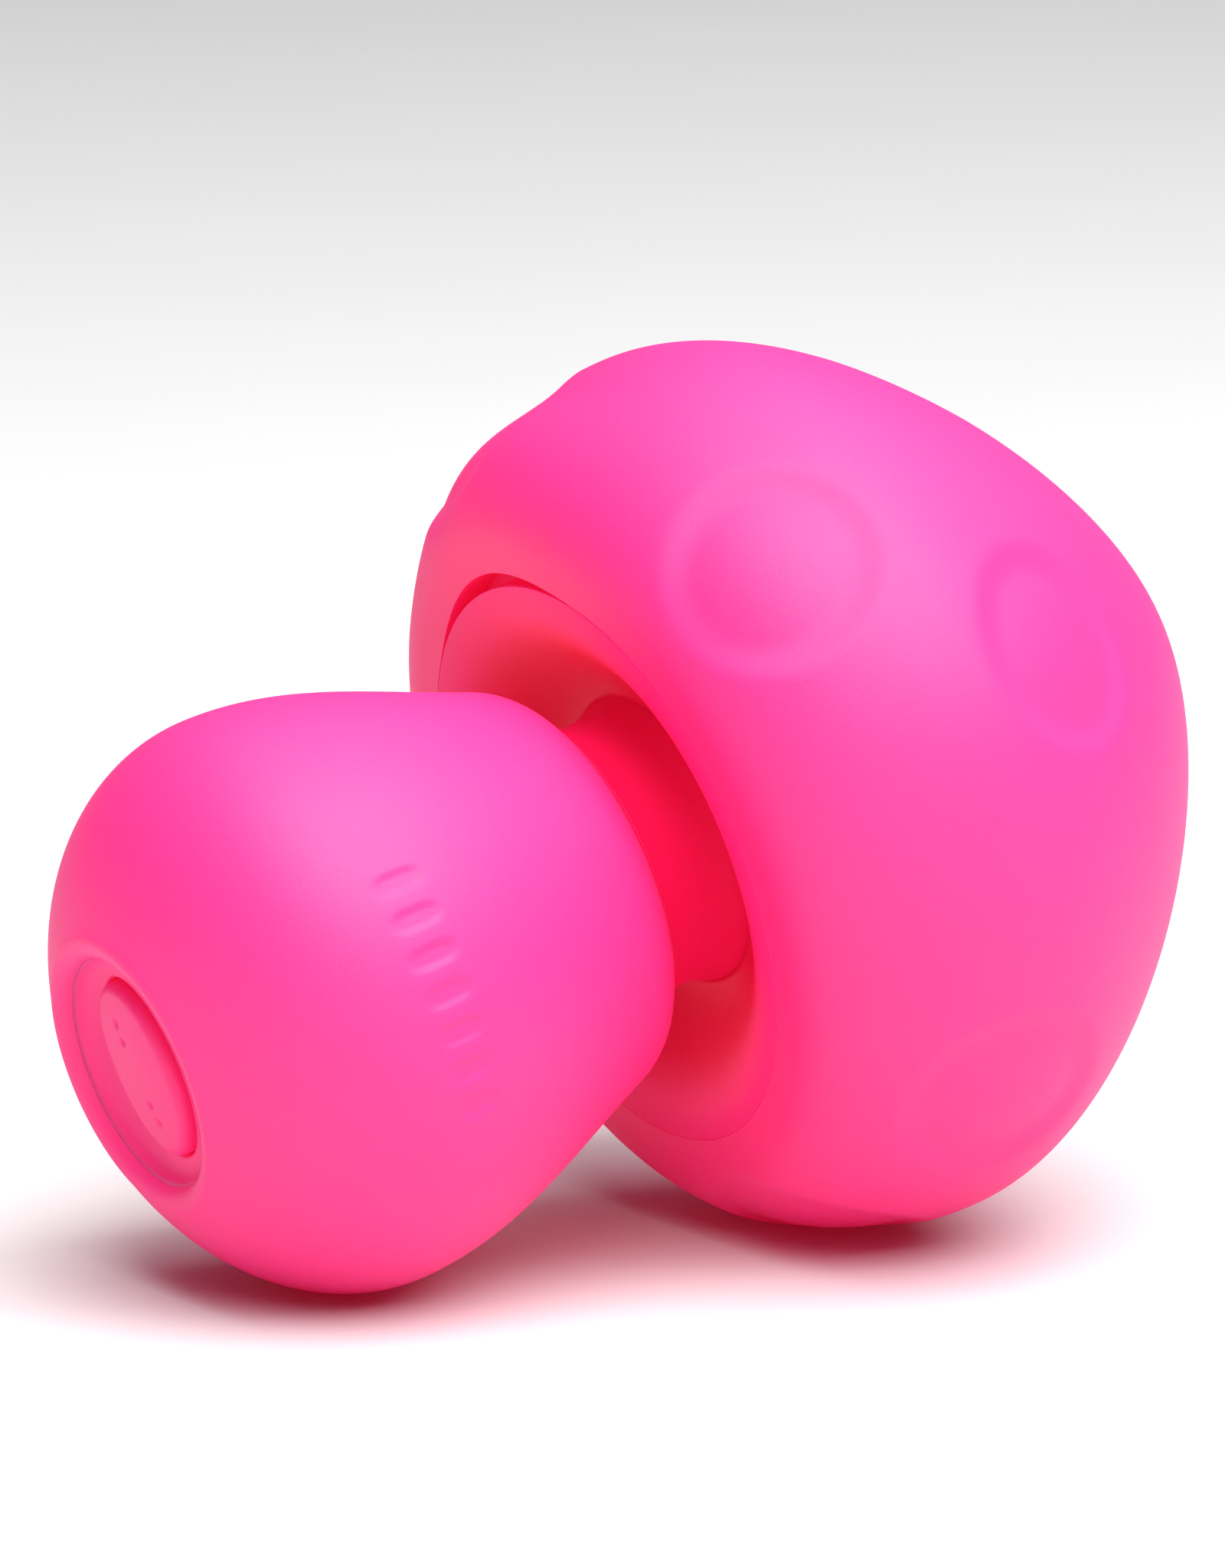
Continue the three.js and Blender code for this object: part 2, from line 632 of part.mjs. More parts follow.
// The collar fills the mouth. Its face is flush with the lip and rolls in to a deep floor round
// the neck. Its flange hooks the lip.
const collarRadius = MOUTH_RADIUS - GAP;
const collarHole = NECK_RADIUS + GAP;
const flangeEdge = lipInside + FLANGE_RISE;
const flangeRadius = widthAt(capInside, flangeEdge) - 2 * GAP;
const collarFace = new THREE.CubicBezierCurve(
  at(collarHole, collarHigh - COLLAR_WALL),
  at(collarHole + COLLAR_FLOOR, collarHigh - COLLAR_WALL - 0.2),
  at(collarRadius - COLLAR_ROLL, LIP_HEIGHT),
  at(collarRadius - 0.3, LIP_HEIGHT),
);
const collar = turned(
  [
    at(collarHole, collarHigh),
    ...collarFace.getPoints(6),
    at(collarRadius, LIP_HEIGHT + 0.3),
    at(collarRadius, lipInside + GAP),
    at(LIP_RADIUS - GAP, lipInside + GAP),
    at(flangeRadius, flangeEdge),
    at(flangeRadius, collarHigh),
  ],
  SKIN_SIDES,
);
add(upright, "cap_collar", collar, PINK_SILICONE);

const headOutside = inset(capLining, CAP_SKIN + GAP);
const headInside = inset(capLining, CAP_SKIN + GAP + HEAD_SHELL);
const headBossPlace = widthAt(headInside, basePlateHigh) - HEAD_BOSS_RADIUS - 0.3;
const baseTop = CAP_WIDEST - GAP / 2;
const domeLow = CAP_WIDEST + GAP / 2;
const screwTop = domeLow + HEAD_SCREW_BITE;
const screwTurns = [0, 120, 240].map((turn) => THREE.MathUtils.degToRad(turn));
const spot = (radius, turn) => [radius * Math.cos(turn), radius * Math.sin(turn)];

// The lower cup of the head's shell, with three bosses and a hole for the rubber core.
function headBase() {
  const outside = between(headOutside, basePlateLow, baseTop);
  const inside = between(headInside, basePlateHigh, baseTop).reverse();
  const hole = [at(CORE_RADIUS + GAP, basePlateHigh), at(CORE_RADIUS + GAP, basePlateLow)];
  const cup = turned([...outside, ...inside, ...hole], SHELL_SIDES);
  const bosses = screwTurns.map((turn) =>
    rod(HEAD_BOSS_RADIUS, basePlateHigh - 0.5, baseTop, ...spot(headBossPlace, turn)),
  );
  const holes = screwTurns.flatMap((turn) => [
    rod(SCREW_SHANK + GAP, basePlateLow - 1, baseTop + 1, ...spot(headBossPlace, turn)),
    rod(SCREW_HEAD + GAP, basePlateLow - 1, basePlateHigh, ...spot(headBossPlace, turn)),
  ]);
  return cut(join(cup, ...bosses), ...holes);
}

// The upper dome of the shell, with the bosses that the three screws bite into.
function headDome() {
  const crown = TIP_HEIGHT - CAP_SKIN - GAP;
  const roof = crown - HEAD_SHELL;
  const outside = between(headOutside, domeLow, TIP_HEIGHT).filter((point) => {
    return point.x > 0.05 && point.y < crown - 0.05;
  });
  const inside = headInside.filter((point) => point.y > domeLow + 0.2 && point.x > 0.05);
  const foot = at(widthAt(headInside, domeLow), domeLow);
  const wallOutline = [...outside, at(0, crown), at(0, roof), ...inside.reverse(), foot];
  const wall = turnedFromAxis(wallOutline, SHELL_SIDES);
  const envelope = turnedFromAxis([...outside, at(0, crown), at(0, domeLow)], SHELL_SIDES);
  const bosses = screwTurns.map((turn) =>
    keep(rod(HEAD_BOSS_RADIUS, domeLow, roof, ...spot(headBossPlace, turn)), envelope),
  );
  const pilots = screwTurns.map((turn) =>
    rod(SCREW_SHANK + GAP, domeLow - 1, screwTop + 1, ...spot(headBossPlace, turn)),
  );
  return cut(join(wall, ...bosses), ...pilots);
}

add(upright, "head_base", headBase(), WHITE_PLASTIC);
add(upright, "head_dome", headDome(), WHITE_PLASTIC);

screwTurns.forEach((turn, i) => {
  const [x, y] = spot(headBossPlace, turn);
  const headHigh = basePlateHigh - GAP;
  const head = rod(SCREW_HEAD, headHigh - SCREW_HEAD_DEPTH, headHigh, x, y);
  const shank = rod(SCREW_SHANK, headHigh - 0.3, screwTop, x, y);
  const slotHigh = headHigh - 0.6 * SCREW_HEAD_DEPTH;
  const slot = block(0.5, 2.6, headHigh - SCREW_HEAD_DEPTH - 0.2, slotHigh, x, y);
  add(upright, `head_screw_${i + 1}`, cut(join(head, shank), slot), STEEL);
});

// ---- Motor -------------------------------------------------------------------------------

const backLow = coreHigh + 0.9;
const backHigh = backLow + MOTOR_BACK;
const canLow = backHigh - MOTOR_PLUG;
const canHigh = canLow + MOTOR_LENGTH;
const canBore = MOTOR_RADIUS - MOTOR_WALL;
const bushLow = canHigh - BUSH_INSIDE;
const bushHigh = canHigh + BUSH_PROUD;
const shaftBore = SHAFT_RADIUS + SHAFT_GAP;
const weightLow = bushHigh + ROTOR_GAP;
const weightHigh = weightLow + WEIGHT_LENGTH;

const can = turned(
  [
    at(canBore, canLow),
    at(MOTOR_RADIUS, canLow),
    at(MOTOR_RADIUS, canHigh - 0.5),
    at(MOTOR_RADIUS - 0.5, canHigh),
    at(BUSH_RADIUS + GAP, canHigh),
    at(BUSH_RADIUS + GAP, canHigh - MOTOR_WALL),
    at(canBore, canHigh - MOTOR_WALL),
  ],
  SHELL_SIDES,
);
add(upright, "motor_can", can, STEEL);

// The back plugs into the can and has a blind hole for the end of the shaft.
const back = turnedFromAxis(
  [
    at(0, backLow),
    at(MOTOR_RADIUS, backLow),
    at(MOTOR_RADIUS, canLow - GAP),
    at(canBore - GAP, canLow - GAP),
    at(canBore - GAP, backHigh),
    at(shaftBore, backHigh),
    at(shaftBore, backHigh - BACK_HOLE),
    at(0, backHigh - BACK_HOLE),
  ],
  SHELL_SIDES,
);
add(upright, "motor_end_cap", back, BLACK_PLASTIC);
const bush = ring(BUSH_RADIUS, shaftBore, bushLow, bushHigh, 20);
add(upright, "motor_bush", bush, BRASS);

const shaftLow = backHigh - BACK_HOLE + GAP;
const shaft = rod(SHAFT_RADIUS, shaftLow, weightHigh + 0.5);
add(upright, "motor_shaft", shaft, STEEL);

const armatureRadius = canBore - MAGNET - 2 * GAP - 0.2;
const armatureLow = backHigh + ROTOR_GAP;
const armatureHigh = bushLow - ROTOR_GAP;
function armature() {
  const core = ring(armatureRadius, shaftBore, armatureLow, armatureHigh, 24);
  const slots = screwTurns.map((turn) => {
    const gap = block(1.8, 1.0, armatureLow - 1, armatureHigh + 1, armatureRadius - 0.6);
    return gap.rotateZ(turn);
  });
  return cut(core, ...slots);
}
add(upright, "motor_armature", armature(), COPPER);

[1, 2].forEach((number) => {
  const middle = number * Math.PI;
  const spread = THREE.MathUtils.degToRad(62);
  const outer = canBore - GAP;
  const shape = new THREE.Shape();
  shape.absarc(0, 0, outer, middle - spread, middle + spread, false);
  shape.absarc(0, 0, outer - MAGNET, middle + spread, middle - spread, true);
  const options = { depth: armatureHigh - armatureLow, bevelEnabled: false, curveSegments: 10 };
  const magnet = new THREE.ExtrudeGeometry(shape, options).translate(0, 0, armatureLow);
  add(upright, `motor_magnet_${number}`, magnet, MAGNET_GREY);
});

// Half a disc on one side of the shaft, with a hub round it.
function eccentricWeight() {
  const shape = new THREE.Shape();
  shape.absarc(0, 0, WEIGHT_RADIUS, 0, Math.PI, false);
  shape.absarc(0, 0, SHAFT_RADIUS + 1.3, Math.PI, 2 * Math.PI, false);
  shape.closePath();
  const bore = new THREE.Path();
  bore.absarc(0, 0, shaftBore, 0, 2 * Math.PI, true);
  shape.holes.push(bore);
  const options = { depth: WEIGHT_LENGTH, bevelEnabled: false, curveSegments: 12 };
  return new THREE.ExtrudeGeometry(shape, options).translate(0, 0, weightLow);
}
add(upright, "eccentric_weight", eccentricWeight(), BRASS);

// A ring round the can on a flange, with three legs that stand on the floor of the base.
function motorCradle() {
  const bore = MOTOR_RADIUS + GAP;
  const flangeOuter = headBossPlace - HEAD_BOSS_RADIUS - GAP;
  const flangeLow = canLow + 1.5;
  const sleeve = ring(bore + CRADLE_WALL, bore, flangeLow, flangeLow + CRADLE_HEIGHT, SHELL_SIDES);
  const flange = ring(flangeOuter, bore, flangeLow, flangeLow + CRADLE_FLANGE, SHELL_SIDES);
  const legRadius = Math.min(1.6, (flangeOuter - coreFlangeRadius) / 3);
  const legs = screwTurns.map((turn) =>
    rod(
      legRadius,
      basePlateHigh + GAP,
      flangeLow + 0.8,
      ...spot(flangeOuter - legRadius - 0.2, turn + Math.PI / 3),
    ),
  );
  return join(sleeve, flange, ...legs);
}
add(upright, "motor_cradle", motorCradle(), WHITE_PLASTIC);

// ---- Laying it down ----------------------------------------------------------------------

// The angle of the long axis to the table at which the bulb's and the cap's bellies are level.
function restingAngle() {
  const flat = Math.cos(Math.PI / SKIN_SIDES);
  const lowest = (outline, angle) =>
    Math.max(...outline.map(({ x, y }) => flat * x * Math.cos(angle) - y * Math.sin(angle)));
  const bulb = stem.filter((point) => point.y < SHOULDER_HEIGHT);
  let low = 0;
  let high = Math.PI / 3;
  for (let i = 0; i < 40; i++) {
    const middle = (low + high) / 2;
    if (lowest(cap, middle) > lowest(bulb, middle)) low = middle;
    else high = middle;
  }
  return low;
}

// Laid down, the origin is under the middle of the whole, on the table.
upright.rotation.y = Math.PI / 2 - restingAngle();
massager.updateMatrixWorld(true);
const bounds = new THREE.Box3().setFromObject(massager, true);
const middle = bounds.getCenter(new THREE.Vector3());
upright.position.set(-middle.x, -middle.y, -bounds.min.z);

export default massager;
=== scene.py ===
import json
import math

import bpy
import numpy as np
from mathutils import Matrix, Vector


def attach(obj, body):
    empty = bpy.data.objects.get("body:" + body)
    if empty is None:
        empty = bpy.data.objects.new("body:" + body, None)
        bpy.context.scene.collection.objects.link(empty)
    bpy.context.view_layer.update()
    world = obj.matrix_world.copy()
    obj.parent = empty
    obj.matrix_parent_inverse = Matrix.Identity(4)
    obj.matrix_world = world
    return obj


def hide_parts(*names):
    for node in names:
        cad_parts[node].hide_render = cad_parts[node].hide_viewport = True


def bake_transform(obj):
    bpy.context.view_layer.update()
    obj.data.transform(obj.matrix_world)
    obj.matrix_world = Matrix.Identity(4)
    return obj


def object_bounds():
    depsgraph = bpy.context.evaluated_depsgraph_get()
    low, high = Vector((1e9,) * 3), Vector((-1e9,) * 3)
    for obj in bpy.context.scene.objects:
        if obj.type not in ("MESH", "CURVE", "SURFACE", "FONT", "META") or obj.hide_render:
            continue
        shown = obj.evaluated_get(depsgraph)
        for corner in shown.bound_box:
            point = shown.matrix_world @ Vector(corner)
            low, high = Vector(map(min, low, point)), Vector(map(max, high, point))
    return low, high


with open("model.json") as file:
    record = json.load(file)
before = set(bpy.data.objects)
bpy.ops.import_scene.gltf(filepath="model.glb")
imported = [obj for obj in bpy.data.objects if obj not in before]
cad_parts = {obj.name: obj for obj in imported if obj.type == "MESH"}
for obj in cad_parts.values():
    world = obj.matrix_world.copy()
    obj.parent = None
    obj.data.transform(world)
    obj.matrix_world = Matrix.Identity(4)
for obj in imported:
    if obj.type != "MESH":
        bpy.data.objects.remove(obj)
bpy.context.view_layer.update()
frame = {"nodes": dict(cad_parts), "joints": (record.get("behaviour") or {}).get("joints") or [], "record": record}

# ---- Where the massager lies -----------------------------------------------------------------
# It lies on the bellies of its bulb and its cap. Each piece is drawn in millimetres round the
# long axis, with height 0 at the rim of the stem's end, and is then carried to its place.

MM = 0.001
joints = {joint["name"]: joint for joint in frame["joints"]}
mounts = {mount["name"]: mount for mount in frame["record"]["mounts"]}
along = np.array(joints["rotor_spin"]["axis"])
down = -np.array(joints["neck_bend"]["axis"])
side = np.cross(along, down)
bend_centre = np.array(joints["neck_bend"]["pos_m"])
on_rim = np.array(mounts["stem_end_rim"]["pos_m"])
rim_centre = bend_centre + along * np.dot(on_rim - bend_centre, along)


def placed(points):
    """Millimetres in the upright drawing to metres where the massager lies: the drawing's x
    points down, its y sideways and its z along the axis from the rim's centre."""
    return rim_centre + MM * (points @ np.array([down, side, along]))


def spot(height):
    """The point of the long axis at a height above the rim."""
    return tuple(rim_centre + MM * height * along)


def soften(corners, steps=6):
    """An outline through corners of (radius, height, reach): a corner with a reach is
    replaced by a quadratic curve that starts and ends that far before and after it."""
    corners = np.array(corners, float)
    points = []
    for i, (x, y, reach) in enumerate(corners):
        corner = np.array([x, y])
        if reach == 0:
            points.append(corner[None])
            continue
        ends = [corners[(i + step) % len(corners), :2] - corner for step in (-1, 1)]
        start, end = [corner + reach * leg / np.linalg.norm(leg) for leg in ends]
        t = np.linspace(0, 1, steps + 1)[:, None]
        points.append((1 - t) ** 2 * start + 2 * t * (1 - t) * corner + t**2 * end)
    return np.concatenate(points)


def divided(outline, longest, closed=True):
    """The outline with each stretch longer than `longest` cut into equal parts."""
    ends = np.roll(outline, -1, axis=0) if closed else outline[1:]
    parts = []
    for start, end in zip(outline, ends):
        count = max(1, math.ceil(np.linalg.norm(end - start) / longest))
        share = np.arange(count)[:, None] / count
        parts.append(start + share * (end - start))
    if not closed:
        parts.append(outline[-1:])
    return np.concatenate(parts)


def bezier(ends, steps):
    """A cubic curve from four points: the sum of each point times its Bernstein weight."""
    t = np.linspace(0, 1, steps + 1)[:, None]
    weights = [(1 - t) ** 3, 3 * t * (1 - t) ** 2, 3 * t**2 * (1 - t), t**3]
    return sum(weight * np.array(point) for weight, point in zip(weights, ends))


def inset(outline, depth):
    """An outline that runs upwards, moved towards the axis along its own normal."""
    tangent = np.gradient(outline, axis=0)
    tangent /= np.linalg.norm(tangent, axis=1)[:, None]
    return outline + depth * np.stack([-tangent[:, 1], tangent[:, 0]], axis=1)


def turned(outline, turns):
    """A grid of points: each row is one outline point carried round the axis, so that
    x = radius cos(turn), y = radius sin(turn), z = height."""
    radius, height = outline[:, :1], outline[:, 1:]
    rows = [radius * np.cos(turns), radius * np.sin(turns), height + 0 * turns]
    return np.stack(rows, axis=-1)


def smoothstep(value, low, high):
    """0 below low, 1 above high, and 3t^2 - 2t^3 between them."""
    t = np.clip((value - low) / (high - low), 0, 1)
    return t * t * (3 - 2 * t)


def piece(name, grid, closed_rows, finish):
    """A mesh from a grid of rows that each close on themselves. The rows close too, as a ring
    does, or else the first and last row shrink to one point each, as poles. The faces are
    turned outwards by the sign of the volume that they enclose."""
    rows, columns = grid.shape[:2]
    column = np.arange(columns)
    beside = (column + 1) % columns
    if closed_rows:
        first = np.arange(rows)[:, None] * columns
        second = (np.arange(rows)[:, None] + 1) % rows * columns
        vertices = grid.reshape(-1, 3)
        triangles = np.zeros((0, 3), int)
    else:
        first = 1 + np.arange(rows - 3)[:, None] * columns
        second = first + columns
        middle = grid[1:-1].reshape(-1, 3)
        vertices = np.concatenate([grid[:1, 0], middle, grid[-1:, 0]])
        last = len(vertices) - 1
        start = last - columns
        near = np.stack([0 * column, 1 + beside, 1 + column], axis=1)
        far = np.stack([0 * column + last, start + column, start + beside], axis=1)
        triangles = np.concatenate([near, far])
    quads = np.stack([first + column, first + beside, second + beside, second + column], axis=-1)
    quads = quads.reshape(-1, 4)
    corner = [vertices[quads[:, i]] for i in range(4)]
    volume = np.sum(corner[0] * np.cross(corner[1], corner[2]))
    volume += np.sum(corner[0] * np.cross(corner[2], corner[3]))
    if volume < 0:
        quads, triangles = quads[:, ::-1], triangles[:, ::-1]
    mesh = bpy.data.meshes.new(name)
    mesh.from_pydata(placed(vertices).tolist(), [], quads.tolist() + triangles.tolist())
    mesh.polygons.foreach_set("use_smooth", np.ones(len(mesh.polygons), bool))
    mesh.materials.append(finish.material)
    made = bpy.data.objects.new(name, mesh)
    bpy.context.scene.collection.objects.link(made)
    return made


# ---- Circuit board ---------------------------------------------------------------------------
# A fibreglass board under green solder mask, with copper runs and tinned pads. It stands behind
# the end plate on the shell's bosses and carries the switches, the charge socket and the cell.


class Value:
    """A number or colour on its way through a finish. Arithmetic on it adds Math nodes."""

    def __init__(self, finish, socket):
        self.finish = finish
        self.socket = socket

    def maths(self, operation, first, second=0.0):
        return self.finish.node("ShaderNodeMath", {"operation": operation}, {0: first, 1: second})

    def __add__(self, other):
        return self.maths("ADD", self, other)

    def __sub__(self, other):
        return self.maths("SUBTRACT", self, other)

    def __rsub__(self, other):
        return self.maths("SUBTRACT", other, self)

    def __mul__(self, other):
        return self.maths("MULTIPLY", self, other)

    def __gt__(self, other):
        return self.maths("GREATER_THAN", self, other)

    def __lt__(self, other):
        return self.maths("LESS_THAN", self, other)

    __radd__ = __add__
    __rmul__ = __mul__


class Finish:
    """A material. Numbers that hold all over are set on its shader by name."""

    def __init__(self, name, **constants):
        self.material = bpy.data.materials.new(name)
        self.material.use_nodes = True
        self.tree = self.material.node_tree
        self.shader = self.tree.nodes["Principled BSDF"]
        for socket, value in constants.items():
            self.shader.inputs[socket.replace("_", " ")].default_value = value
        self.coordinates = self.node("ShaderNodeTexCoord", {}, {}, "Object")

    def feed(self, socket, value):
        if isinstance(value, Value):
            self.tree.links.new(value.socket, socket)
        else:
            socket.default_value = value

    def node(self, kind, settings, inputs, output=0):
        """Adds a node: its settings first, then the values or links of its sockets."""
        made = self.tree.nodes.new(kind)
        for name, value in settings.items():
            setattr(made, name, value)
        for name, value in inputs.items():
            self.feed(made.inputs[name], value)
        return Value(self, made.outputs[output])

    def noise(self, size_mm, detail=2.0):
        """Soft noise from 0 to 1 whose blotches are about size_mm across."""
        inputs = {"Vector": self.coordinates, "Scale": 1 / (size_mm * MM), "Detail": detail}
        return self.node("ShaderNodeTexNoise", {}, inputs)

    def aligned(self, across_mm=1.0, along_mm=1.0):
        """Coordinates from the rim's centre, turned so that z runs down the long axis, and
        divided by a length across it and a length along it."""
        inputs = {
            "Vector": self.coordinates,
            "Location": tuple(rim_centre),
            "Rotation": (0, -math.pi / 2 - math.atan2(along[2], along[0]), 0),
            "Scale": (across_mm * MM, across_mm * MM, along_mm * MM),
        }
        return self.node("ShaderNodeMapping", {"vector_type": "TEXTURE"}, inputs)

    def height(self):
        """Millimetres along the long axis from the rim."""
        return -1 * self.node("ShaderNodeSeparateXYZ", {}, {0: self.aligned()}, "Z")

    def mix(self, first, second, share):
        """One colour faded into another by a share from 0 to 1."""
        inputs = {"Factor": share, "A": first, "B": second}
        node = self.tree.nodes.new("ShaderNodeMix")
        node.data_type = "RGBA"
        for name, value in inputs.items():
            socket = [s for s in node.inputs if s.name == name and s.enabled][0]
            self.feed(socket, value)
        return Value(self, [s for s in node.outputs if s.enabled][0])

    def cover(self, colour, roughness, height=None, depth_mm=0.05, strength=1.0):
        """Feeds the shader's colour and roughness, and a bump of depth_mm from a height."""
        self.feed(self.shader.inputs["Base Color"], colour)
        self.feed(self.shader.inputs["Roughness"], roughness)
        if height is not None:
            inputs = {"Height": height, "Distance": depth_mm * MM, "Strength": strength}
            normal = self.node("ShaderNodeBump", {}, inputs)
            self.feed(self.shader.inputs["Normal"], normal)
        return self


def tint(code):
    """A colour written as on paper (#rrggbb) in the linear light that shaders work in."""
    parts = [int(code[i : i + 2], 16) / 255 for i in (1, 3, 5)]
    return (*[((part + 0.055) / 1.055) ** 2.4 for part in parts], 1.0)


def dress(finish, *names):
    """Gives CAD pieces a finish in place of their plain one."""
    for name in names:
        for slot in frame["nodes"][name].material_slots:
            slot.material = finish.material


def solder_mask():
    """Green mask in slow clouds, lighter over a net of copper runs, with round tinned pads."""
    made = Finish("green solder mask", IOR=1.5)
    flat = made.aligned()
    net = {"Vector": flat, "Scale": 1.0, "Mortar Size": 0.1, "Brick Width": 2.3, "Row Height": 0.9}
    runs = made.node("ShaderNodeTexBrick", {}, net, "Fac")
    cells = {"Vector": flat, "Scale": 0.45, "Randomness": 0.55}
    pads = made.node("ShaderNodeTexVoronoi", {}, cells, "Distance") < 0.14
    clouds = made.noise(6)
    colour = made.mix(tint("#12512b"), tint("#1c6a39"), clouds)
    colour = made.mix(colour, tint("#3f9158"), runs)
    colour = made.mix(colour, tint("#c9ccd0"), pads)
    made.feed(made.shader.inputs["Metallic"], pads * 0.9)
    return made.cover(colour, 0.32 + 0.12 * clouds, runs + 2.0 * pads, 0.03)


dress(solder_mask(), "circuit_board")

# ---- Switches and charge socket --------------------------------------------------------------
# Two square push switches and a round jack socket in black nylon, soldered to the board. A
# white plunger slides in each switch on a dome spring.


def plastic(name, light, dark, roughness=0.42, grain_mm=0.25, depth_mm=0.03):
    """Moulded plastic: two close colours in slow clouds, a spark-eroded grain, and small
    paler scuffs where a fine noise is highest."""
    made = Finish(name, IOR=1.46)
    clouds = made.noise(9, 3.0)
    grain = made.noise(grain_mm, 4.0)
    scuffs = made.noise(1.6, 6.0) > 0.66
    colour = made.mix(tint(dark), tint(light), clouds)
    colour = made.mix(colour, tint("#b9b4b2"), scuffs * 0.12)
    roughness = roughness + 0.12 * grain + 0.1 * scuffs
    return made.cover(colour, roughness, grain, depth_mm, 0.6)


black_nylon = plastic("black nylon", "#27272a", "#19191b", 0.5)
white_plastic = plastic("white plastic", "#ece9e3", "#dedad2", 0.4)
dress(black_nylon, "switch_body_1", "switch_body_2", "charge_socket")
dress(white_plastic, "switch_plunger_1", "switch_plunger_2")

# ---- Battery ---------------------------------------------------------------------------------
# One round lithium cell in blue shrink wrap, with its nickel-plated nipple towards the neck. It
# stands on the board between the shell's halves.


def measured(name):
    """A CAD piece's lowest height, highest height and greatest radius, in millimetres."""
    vertices = frame["nodes"][name].data.vertices
    points = np.zeros(3 * len(vertices))
    vertices.foreach_get("co", points)
    drawn = (points.reshape(-1, 3) - rim_centre) / MM @ np.array([down, side, along]).T
    return drawn[:, 2].min(), drawn[:, 2].max(), np.hypot(drawn[:, 0], drawn[:, 1]).max()


def shrink_wrap(top):
    """Blue film up to a height, with fine lengthwise wrinkles, and bare nickel above it."""
    made = Finish("blue shrink wrap", IOR=1.5)
    bare = made.height() > top
    clouds = made.noise(5)
    creases = {"Vector": made.aligned(0.5, 6), "Scale": 1.0, "Detail": 3.0}
    wrinkles = made.node("ShaderNodeTexNoise", {}, creases)
    colour = made.mix(tint("#2d5fae"), tint("#3a70c2"), clouds)
    colour = made.mix(colour, tint("#c3c6ca"), bare)
    made.feed(made.shader.inputs["Metallic"], bare)
    return made.cover(colour, 0.28 + 0.14 * wrinkles, wrinkles, 0.05)


small_turns = np.linspace(-math.pi, math.pi, 96, endpoint=False)
NIPPLE_RADIUS = 1.6
NIPPLE_HEIGHT = 0.5
cell_low, cell_high, cell_radius = measured("battery")
cell_top = cell_high - NIPPLE_HEIGHT
cell_outline = soften(
    [
        (0, cell_low, 0),
        (cell_radius, cell_low, 0.4),
        (cell_radius, cell_top, 0.5),
        (NIPPLE_RADIUS + 0.1, cell_top, 0.1),
        (NIPPLE_RADIUS, cell_high, 0.15),
        (0, cell_high, 0),
    ]
)
cell_outline = divided(cell_outline, 0.5, closed=False)
cell = piece("battery_cell", turned(cell_outline, small_turns), False, shrink_wrap(cell_top - 0.6))
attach(cell, "stem")
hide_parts("battery")

# ---- Stem shell ------------------------------------------------------------------------------
# Two halves and an end plate in pink ABS, closed round the board and the cell. Two steel screws
# go through the plate into a boss in each half.


def metal(name, light, dark, roughness=0.28, ring_mm=0.12):
    """Turned metal: fine rings round the long axis, a slow change of tone, dull spots."""
    made = Finish(name, Metallic=1.0)
    lathe = {"Vector": made.aligned(9, ring_mm), "Scale": 1.0, "Detail": 3.0}
    rings = made.node("ShaderNodeTexNoise", {}, lathe)
    dull = made.noise(0.9, 4.0) > 0.64
    colour = made.mix(tint(dark), tint(light), 0.6 * made.noise(5) + 0.4 * rings)
    return made.cover(colour, roughness + 0.16 * rings + 0.12 * dull, rings, 0.012)


steel = metal("zinc-plated steel", "#c6c9cd", "#9fa3a8")
dress(plastic("pink ABS", "#e14a86", "#d23a76"), "stem_shell_left", "stem_shell_right", "end_plate")
dress(steel, "stem_screw_1", "stem_screw_2")

# ---- Pink silicone ---------------------------------------------------------------------------
# The bulb, the neck, the pad, the collar and the cap are liquid silicone rubber, moulded in
# a blasted mould: matt, a little see-through at its edges, with a very fine even grain.


def silicone(name, colour, deep_colour, gloss=0.5, painted_glow=0.18, painted_shade=None):
    """Matt silicone: two close pinks in slow clouds, sparse darker specks, and a fine grain.
    It carries a painted glow, a faint red emission that lifts its shaded parts. Where it has a
    painted shade colour, it fades to that as painted shade as the distance to the long axis
    falls from the first to the second of two radii."""
    made = Finish(
        name,
        IOR=1.5,
        Specular_IOR_Level=gloss,
        Subsurface_Weight=0.3,
        Subsurface_Radius=(1.0, 0.12, 0.2),
        Subsurface_Scale=0.003,
        # painted light: a faint red glow that lifts the silicone's shaded parts
        Emission_Color=(1.0, 0.01, 0.07, 1.0),
        Emission_Strength=painted_glow,
    )
    clouds = made.noise(14, 3.0)
    fine = made.noise(0.22, 3.0)
    cells = {"Vector": made.coordinates, "Scale": 1 / (2.6 * MM)}
    distance = made.node("ShaderNodeTexVoronoi", {}, cells, "Distance")
    lottery = made.node("ShaderNodeTexVoronoi", {}, cells, "Color")
    chosen = made.node("ShaderNodeSeparateColor", {}, {0: lottery}) > 0.8
    speck = (distance < 0.045) * chosen
    base = made.mix(tint(colour), tint(deep_colour), clouds * 0.7)
    base = made.mix(base, tint("#d42a63"), speck * 0.45)
    # painted shade: the colour darkens towards the long axis, where the cavity is in shade
    if painted_shade:
        shade_colour, outer, inner = painted_shade
        across = {0: made.aligned(), 1: (1, 1, 0)}
        flat = made.node("ShaderNodeVectorMath", {"operation": "MULTIPLY"}, across)
        radius = made.node("ShaderNodeVectorMath", {"operation": "LENGTH"}, {0: flat}, "Value")
        fade = {"Value": radius, "From Min": outer, "From Max": inner}
        share = made.node("ShaderNodeMapRange", {"interpolation_type": "SMOOTHSTEP"}, fade)
        base = made.mix(base, tint(shade_colour), share)
    roughness = 0.46 + 0.1 * clouds + 0.08 * fine
    return made.cover(base, roughness, fine - 2.0 * speck, 0.03, 0.5)


